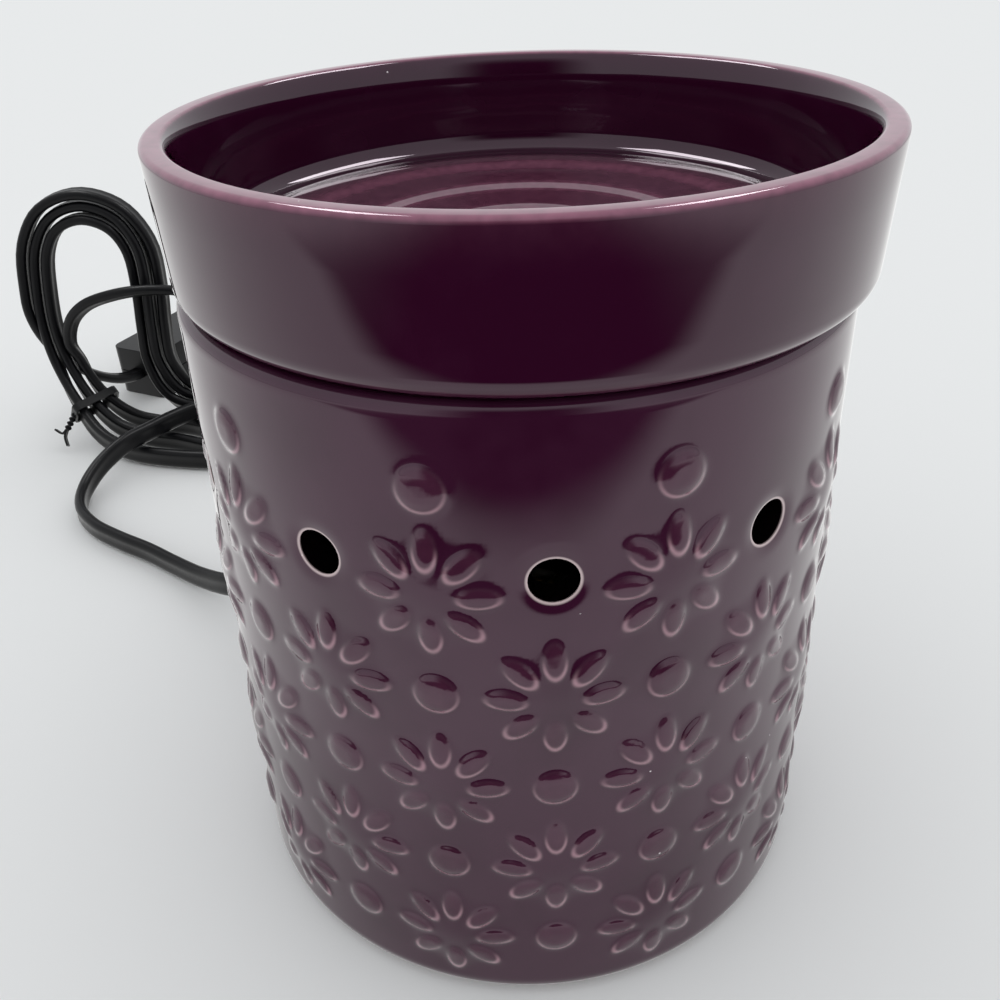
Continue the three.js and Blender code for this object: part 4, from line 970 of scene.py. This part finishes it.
def turned_part(node, outline, steps=48, place=(0, 0, 0), way=(0, 0, 1), closed=False):
    bm = spun(outline, steps, closed)
    bmesh.ops.rotate(bm, verts=bm.verts, matrix=UP.rotation_difference(Vector(way)).to_matrix())
    bmesh.ops.translate(bm, verts=bm.verts, vec=Vector(place) * MM)
    made = new_object(f"{node}_finished", bm, finishes[slot_of_node[node]])
    return seat(smooth_by_angle(made, 40), node)


def welded_copy(node):
    bm = bmesh.new()
    bm.from_mesh(frame["nodes"][node].data)
    bmesh.ops.remove_doubles(bm, verts=bm.verts, dist=1e-6)
    bmesh.ops.dissolve_limit(bm, angle_limit=math.radians(1.0), verts=bm.verts, edges=bm.edges)
    return bm


def cut_part(node, bevel_width, bm=None):
    made = new_object(f"{node}_finished", bm or welded_copy(node), finishes[slot_of_node[node]])
    bevel = made.modifiers.new("edges", "BEVEL")
    bevel.width = bevel_width * MM
    bevel.segments = 3
    bevel.limit_method = "ANGLE"
    bevel.angle_limit = math.radians(40)
    smooth_by_angle(made, 35)
    return seat(made, node)


print("helpers ready")

# %% [markdown]
# The base closes the body from below: a painted plate with four rubber feet pushed through it, held
# by a clamp bar on the inner ledge with two screws and nuts.

# %% Base, feet and clamp
FOOT_CIRCLE, SCREW_PLACE, SCREW_TOP = 40.03, 39.97, 14.1
foot_outline = [(0, 0), (6, 0), (6, 1.9), (2.5, 1.9), (2.5, 4.5), (4, 4.5), (2.5, 6.1), (0, 6.1)]
for i in range(4):
    place = level_way(45 + 90 * i) * FOOT_CIRCLE
    turned_part(f"rubber_foot_{i + 1}", eased(foot_outline, 0.7), place=place)
screw_outline = [(0, 0.5), (2.7, 0.5), (3.6, 1.9), (1.8, 1.9), (1.8, SCREW_TOP), (0, SCREW_TOP)]
for side, x in (("left", -SCREW_PLACE), ("right", SCREW_PLACE)):
    turned_part(f"clamp_screw_{side}", eased(screw_outline, 0.4), steps=32, place=(x, 0, 0))
    cut_part(f"clamp_nut_{side}", 0.25)
cut_part("base_plate", 0.4)
cut_part("clamp_bar", 0.4)
cut_part("nipple_nut", 0.3)
print("base, feet and clamp made")

# %% [markdown]
# The lamp holder is a porcelain cup on a threaded brass nipple, with a brass shell that the bulb
# screws into and two terminal screws for the leads.

# %% Lamp holder
HOLDER_FOOT, HOLDER_TOP, BORE_FOOT = 11.1, 49.1, 24.1
holder_outline = [
    (0, BORE_FOOT), (8.2, BORE_FOOT), (8.2, HOLDER_TOP), (12, HOLDER_TOP), (12, HOLDER_FOOT),
    (5.4, HOLDER_FOOT), (5.4, 19.1), (0, 19.1),
]
turned_part("lamp_holder", eased(holder_outline, 1.2), steps=72)
nipple_outline = [(3.4, 5.0), (5.0, 5.0), (5.0, 18.8), (3.4, 18.8)]
turned_part("lamp_nipple", eased(nipple_outline, 0.3, True), closed=True)
shell_outline = [(6.8, 24.4), (7.9, 24.4), (7.9, 48.8), (6.8, 48.8)]
turned_part("holder_shell", eased(shell_outline, 0.3, True), steps=72, closed=True)
turned_part("holder_contact", eased([(0, 24.4), (3, 24.4), (3, 25.9), (0, 25.9)], 0.6))
TERMINAL_HEIGHT = 17.1
terminal_outline = [(0, 9.9), (2.6, 9.9), (2.6, 12.6), (0, 12.6)]
TERMINAL_WAYS = {"live": level_way(110), "neutral": level_way(178)}
for name, way in TERMINAL_WAYS.items():
    place = (0, 0, TERMINAL_HEIGHT)
    turned_part(f"terminal_screw_{name}", eased(terminal_outline, 0.5), steps=32, place=place, way=way)
print("lamp holder made")

# %% [markdown]
# The two leads come out of the flex inside the bush and go round to the terminals. They are swept as
# the flex is, with a round section.

# %% Leads
LEAD_START, LEAD_NEXT, LEAD_APART, LEAD_RADIUS = 51.37, 43.37, 1.5, 1.2
LEAD_END, LEAD_BEFORE, LEAD_POINTS = 14.1, 20.1, 41


def round_section(radius, points=14):
    angles = [2 * math.pi * i / points for i in range(points)]
    return [(radius * math.cos(a), radius * math.sin(a)) for a in angles]


across = UP.cross(CORD_WAY)
exit_height = UP * CORD_EXIT_HEIGHT
terminal_height = UP * TERMINAL_HEIGHT
for name, side in (("live", -1), ("neutral", 1)):
    apart = across * (LEAD_APART * side)
    way = TERMINAL_WAYS[name]
    knots = [CORD_WAY * LEAD_START + exit_height + apart, CORD_WAY * LEAD_NEXT + exit_height + apart]
    knots += [way * LEAD_BEFORE + terminal_height, way * LEAD_END + terminal_height]
    line = smooth_line([knot * MM for knot in knots])
    centres = [line(i / (LEAD_POINTS - 1)) for i in range(LEAD_POINTS)]
    section = round_section(LEAD_RADIUS * MM)
    lead = sweep(f"lead_{name}_finished", centres, [UP] * LEAD_POINTS, section, finishes["black_plastic"])
    seat(lead, f"lead_{name}")
print("leads made")

# %% [markdown]
# The bulb is a small globe lamp. Its brass cap is a rolled thread: the wall of the spun cap is moved
# in and out along a helix with the pitch that the bulb rises by in each turn.

# %% Bulb
CAP_RADIUS, CAP_BORE, CAP_FOOT, CAP_TOP = 6.2, 5.6, 29.5, 48.0
THREAD_PITCH, THREAD_DEPTH = 2.54, 0.35
GLOBE_MIDDLE, GLOBE_RADIUS, GLASS = 82.0, 25.0, 0.9
NECK_RADIUS, NECK_FOOT = 5.3, 39.0
turned_part("bulb_tip", eased([(0, 26.2), (1.3, 26.2), (2, 27.0), (2, 27.7), (0, 27.7)], 0.5))
turned_part("bulb_insulator", eased([(0, 28), (2, 28), (5.3, 30), (5.3, 31), (0, 31)], 0.3))
wall_rows = [CAP_FOOT + 0.3 + (CAP_TOP - CAP_FOOT - 0.6) * i / 56 for i in range(57)]
cap_outline = [(CAP_RADIUS, z) for z in wall_rows] + [(CAP_BORE, z) for z in reversed(wall_rows)]
bm = spun(cap_outline, 72)
for vert in bm.verts:
    radius, angle, z = turned_place(vert)
    wave = math.sin(2 * math.pi * z / THREAD_PITCH - math.radians(angle))
    ends = smooth_step((z - CAP_FOOT) / 2) * smooth_step((CAP_TOP - 2 - z) / 2)
    sunk = THREAD_DEPTH * ends * (0.5 - 0.5 * wave)
    vert.co.xy *= (radius - sunk) / radius
cap = new_object("bulb_cap_finished", bm, finishes["brass"])
seat(smooth_by_angle(cap, 50), "bulb_cap")


def globe_outline(inset):
    neck = NECK_RADIUS - inset
    curve = arc(0, GLOBE_MIDDLE, GLOBE_RADIUS - inset, -70, 90, 40)
    curve[-1] = (0, curve[-1][1])
    return eased([(neck, NECK_FOOT), (neck, CAP_TOP + 2), curve[0]], 4.0) + curve[1:]


glass_outline = globe_outline(0) + list(reversed(globe_outline(GLASS)))
turned_part("bulb_glass", glass_outline, steps=96, closed=True)
stem_outline = [(0, 39.3), (4.1, 39.3), (4.1, 41.5), (2, 48.3), (2, 69.3), (0, 69.3)]
turned_part("bulb_stem", eased(stem_outline, 1.0))
print("bulb made")

# %% [markdown]
# The filament is a fine coil. It leaves the top of the stem on one side, goes over in a low arch and
# comes back on the other. It is swept along a helix round that arch.

# %% Filament
FILAMENT_FOOT, FILAMENT_RISE, FILAMENT_SPAN = 69.95, 11.0, 9.0
COIL_RADIUS, WIRE_RADIUS, COIL_TURNS, TURN_STEPS = 0.34, 0.11, 44, 12
low, high = FILAMENT_FOOT + FILAMENT_RISE * 0.6, FILAMENT_FOOT + FILAMENT_RISE
arch = [(-1, FILAMENT_FOOT), (-FILAMENT_SPAN, low), (-FILAMENT_SPAN / 2, high)]
arch += [(-x, z) for x, z in reversed(arch)]
arch_line = smooth_line([Vector((x, 0, z)) * MM for x, z in arch])
coil_centres = []
for i in range(COIL_TURNS * TURN_STEPS + 1):
    share = i / (COIL_TURNS * TURN_STEPS)
    spin_angle = 2 * math.pi * COIL_TURNS * share
    ahead = heading(arch_line, share)
    side = Vector((0, 1, 0))
    offset = side * math.cos(spin_angle) + ahead.cross(side) * math.sin(spin_angle)
    coil_centres.append(arch_line(share) + offset * COIL_RADIUS * MM)
wire = round_section(WIRE_RADIUS * MM, 6)
coil_widths = [Vector((0, 0.3, 1))] * len(coil_centres)
filament = sweep("bulb_filament_finished", coil_centres, coil_widths, wire, finishes["filament_wire"])
seat(filament, "bulb_filament")
print("filament turns:", COIL_TURNS)

# %% [markdown]
# The bush is a black rubber strain relief in the wall: a flange on each side and a ribbed sleeve
# that tapers along the flex, so that the flex can't be bent sharply where it leaves.

# %% Bush
SLEEVE_START, SLEEVE_RADIUS, SLEEVE_TIP, RIBS, RIB_DEPTH = 62.26, 6.0, 4.8, 6, 0.8
bush_outline = [(0, 51.67), (6, 51.67), (6, 53.87), (5.2, 53.87), (5.2, 60.06), (8, 60.06), (8, SLEEVE_START)]
rib_length = (BUSH_END - SLEEVE_START) / RIBS
for i in range(RIBS):
    start, end = SLEEVE_START + i * rib_length, SLEEVE_START + (i + 1) * rib_length
    radius = SLEEVE_RADIUS + (SLEEVE_TIP - SLEEVE_RADIUS) * (i + 1) / RIBS
    groove = start + rib_length * 0.35
    inner = radius - RIB_DEPTH
    bush_outline += [(inner, start), (inner, groove), (radius, groove), (radius, end)]
bush_outline += [(0, BUSH_END)]
turned_part("cord_bush", eased(bush_outline, 0.35), steps=56, place=exit_height, way=CORD_WAY)
print("ribs on the bush:", RIBS)

# %% [markdown]
# The in-line switch is two moulded half cases, screwed together, with a knurled thumb wheel that
# stands out of one side. The knurl is made by moving the rim of a spun wheel in and out.

# %% Switch
WHEEL_RADIUS, WHEEL_THICKNESS, WHEEL_BORE, WHEEL_SHOWS = 9.5, 6.0, 2.0, 2.6
KNURLS, KNURL_DEPTH, RIM_DEPTH, SWITCH_WIDTH = 36, 0.45, 1.0, 24.0
WHEEL_OFFSET = SWITCH_WIDTH / 2 + WHEEL_SHOWS - WHEEL_RADIUS
for node in ("switch_case_lower", "switch_case_upper"):
    cut_part(node, 0.9)
for node in ("switch_screw_left", "switch_screw_right"):
    cut_part(node, 0.3)
half = WHEEL_THICKNESS / 2
wheel_outline = [(WHEEL_BORE, -half), (WHEEL_RADIUS, -half), (WHEEL_RADIUS, half), (WHEEL_BORE, half)]
bm = spun(eased(wheel_outline, 0.6, True), KNURLS * 4)
for vert in bm.verts:
    radius, angle, _ = turned_place(vert)
    if radius > WHEEL_RADIUS - RIM_DEPTH:
        ridge = 0.5 - 0.5 * math.cos(math.radians(KNURLS * angle))
        vert.co.xy *= 1 - KNURL_DEPTH * ridge / radius
across_switch = UP.cross(SWITCH_WAY)
wheel_place = SWITCH_MIDDLE + across_switch * WHEEL_OFFSET
bmesh.ops.translate(bm, verts=bm.verts, vec=wheel_place * MM)
wheel = new_object("switch_wheel_finished", bm, finishes["black_plastic"])
seat(smooth_by_angle(wheel, 40), "switch_wheel")
print("knurls on the wheel:", KNURLS)

# %% [markdown]
# The plug is one moulding. It narrows towards the flex and has finger grooves. It starts as a block
# with rounded long edges, is cut across by a row of planes so that it has rings to shape, and the
# rings are drawn in.

# %% Plug
PLUG_LENGTH, PLUG_WIDTH, PLUG_HEIGHT, PLUG_ROUND = 29.7, 24.0, 17.0, 5.0
PLUG_NARROW, PLUG_TAPER, PLUG_RINGS = 0.5, 15.0, 48
GRIP_PITCH, GRIP_DEPTH, GRIP_START, GRIP_END, GRIP_FADE = 3.2, 0.06, 5.0, 21.0, 3.0
bm = bmesh.new()
bmesh.ops.create_cube(bm, size=MM)
bmesh.ops.scale(bm, verts=bm.verts, vec=(PLUG_LENGTH, PLUG_WIDTH, PLUG_HEIGHT))
long_edges = [e for e in bm.edges if abs(e.verts[0].co.x - e.verts[1].co.x) > MM]
bmesh.ops.bevel(
    bm, geom=long_edges, affect="EDGES", offset=PLUG_ROUND * MM, segments=6, profile=0.5, material=-1,
    clamp_overlap=True,
)
bmesh.ops.translate(bm, verts=bm.verts, vec=((PLUG_LENGTH / 2 + SEAT_GAP) * MM, 0, 0))
for i in range(1, PLUG_RINGS):
    everything = bm.verts[:] + bm.edges[:] + bm.faces[:]
    cut_at = ((SEAT_GAP + PLUG_LENGTH * i / PLUG_RINGS) * MM, 0, 0)
    bmesh.ops.bisect_plane(bm, geom=everything, dist=1e-7, plane_co=cut_at, plane_no=(1, 0, 0))
for vert in bm.verts:
    along_plug = vert.co.x / MM
    full = smooth_step(along_plug / PLUG_TAPER)
    groove = max(0.0, math.sin(2 * math.pi * along_plug / GRIP_PITCH))
    gripped = smooth_step((along_plug - GRIP_START) / GRIP_FADE)
    gripped *= smooth_step((GRIP_END - along_plug) / GRIP_FADE)
    vert.co.yz *= PLUG_NARROW + (1 - PLUG_NARROW) * full - GRIP_DEPTH * groove * gripped
bmesh.ops.rotate(bm, verts=bm.verts, matrix=Matrix.Rotation(math.radians(PLUG_YAW), 3, "Z"))
bmesh.ops.translate(bm, verts=bm.verts, vec=PLUG_END * MM)
plug = cut_part("plug_body", 1.0, bm)
for node in ("plug_blade_front", "plug_blade_back"):
    cut_part(node, 0.35)
print("plug faces:", len(plug.data.polygons))

# %% [markdown]
# A plastic-covered wire tie holds the hank: a flat band round the strands, twisted together outside,
# with two short ends. The band keeps its solid's shape, and the twist is swept with a width that turns.

# %% Tie
cut_part("hank_tie", 0.3)
TIE_REACH, TWIST_LENGTH, TWIST_TURNS, TWIST_STEPS = 3.0, 7.0, 2.0, 40
END_LENGTH, END_POINTS = 5.0, 17
twist_section, end_section = twin_section(2.6 * MM, 1.3 * MM), twin_section(2.0 * MM, 0.8 * MM)
tie_first, _, tie_way = hank_at(HANK_TIE)
tie_last = hank_at(HANK_TIE + 2)[0]
tie_out = (tie_first - tie_last).normalized()
tie_root = tie_first + tie_out * TIE_REACH
tie_out = (tie_out - UP).normalized()
tie_side = tie_way.cross(tie_out).normalized()
twist_centres, twist_widths = [], []
for i in range(TWIST_STEPS + 1):
    angle = 2 * math.pi * TWIST_TURNS * i / TWIST_STEPS
    twist_centres.append((tie_root + tie_out * TWIST_LENGTH * i / TWIST_STEPS) * MM)
    twist_widths.append(tie_side * math.cos(angle) + tie_way * math.sin(angle))
tie_finish = finishes["black_plastic"]
tie_pieces = [sweep("hank_tie_twist", twist_centres, twist_widths, twist_section, tie_finish)]
for name, lean in (("upper", 0.9), ("lower", -0.7)):
    start = tie_root + tie_out * (TWIST_LENGTH - 0.4)
    bend = start + (tie_out + tie_way * lean * 0.4) * END_LENGTH * 0.5
    end = start + (tie_out * 0.8 + tie_way * lean) * END_LENGTH
    line = smooth_line([start * MM, bend * MM, end * MM])
    centres = [line(i / (END_POINTS - 1)) for i in range(END_POINTS)]
    widths = [tie_side] * END_POINTS
    tie_pieces.append(sweep(f"hank_tie_end_{name}", centres, widths, end_section, tie_finish))
for piece in tie_pieces:
    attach(piece, "base")
print("tie pieces:", len(tie_pieces))

# %% [markdown]
# The hank's first point and all its points are made into plain tuples.


tuple(hank_centres[0])
[tuple(p) for p in hank_centres]

# %% End
print("end of the script")
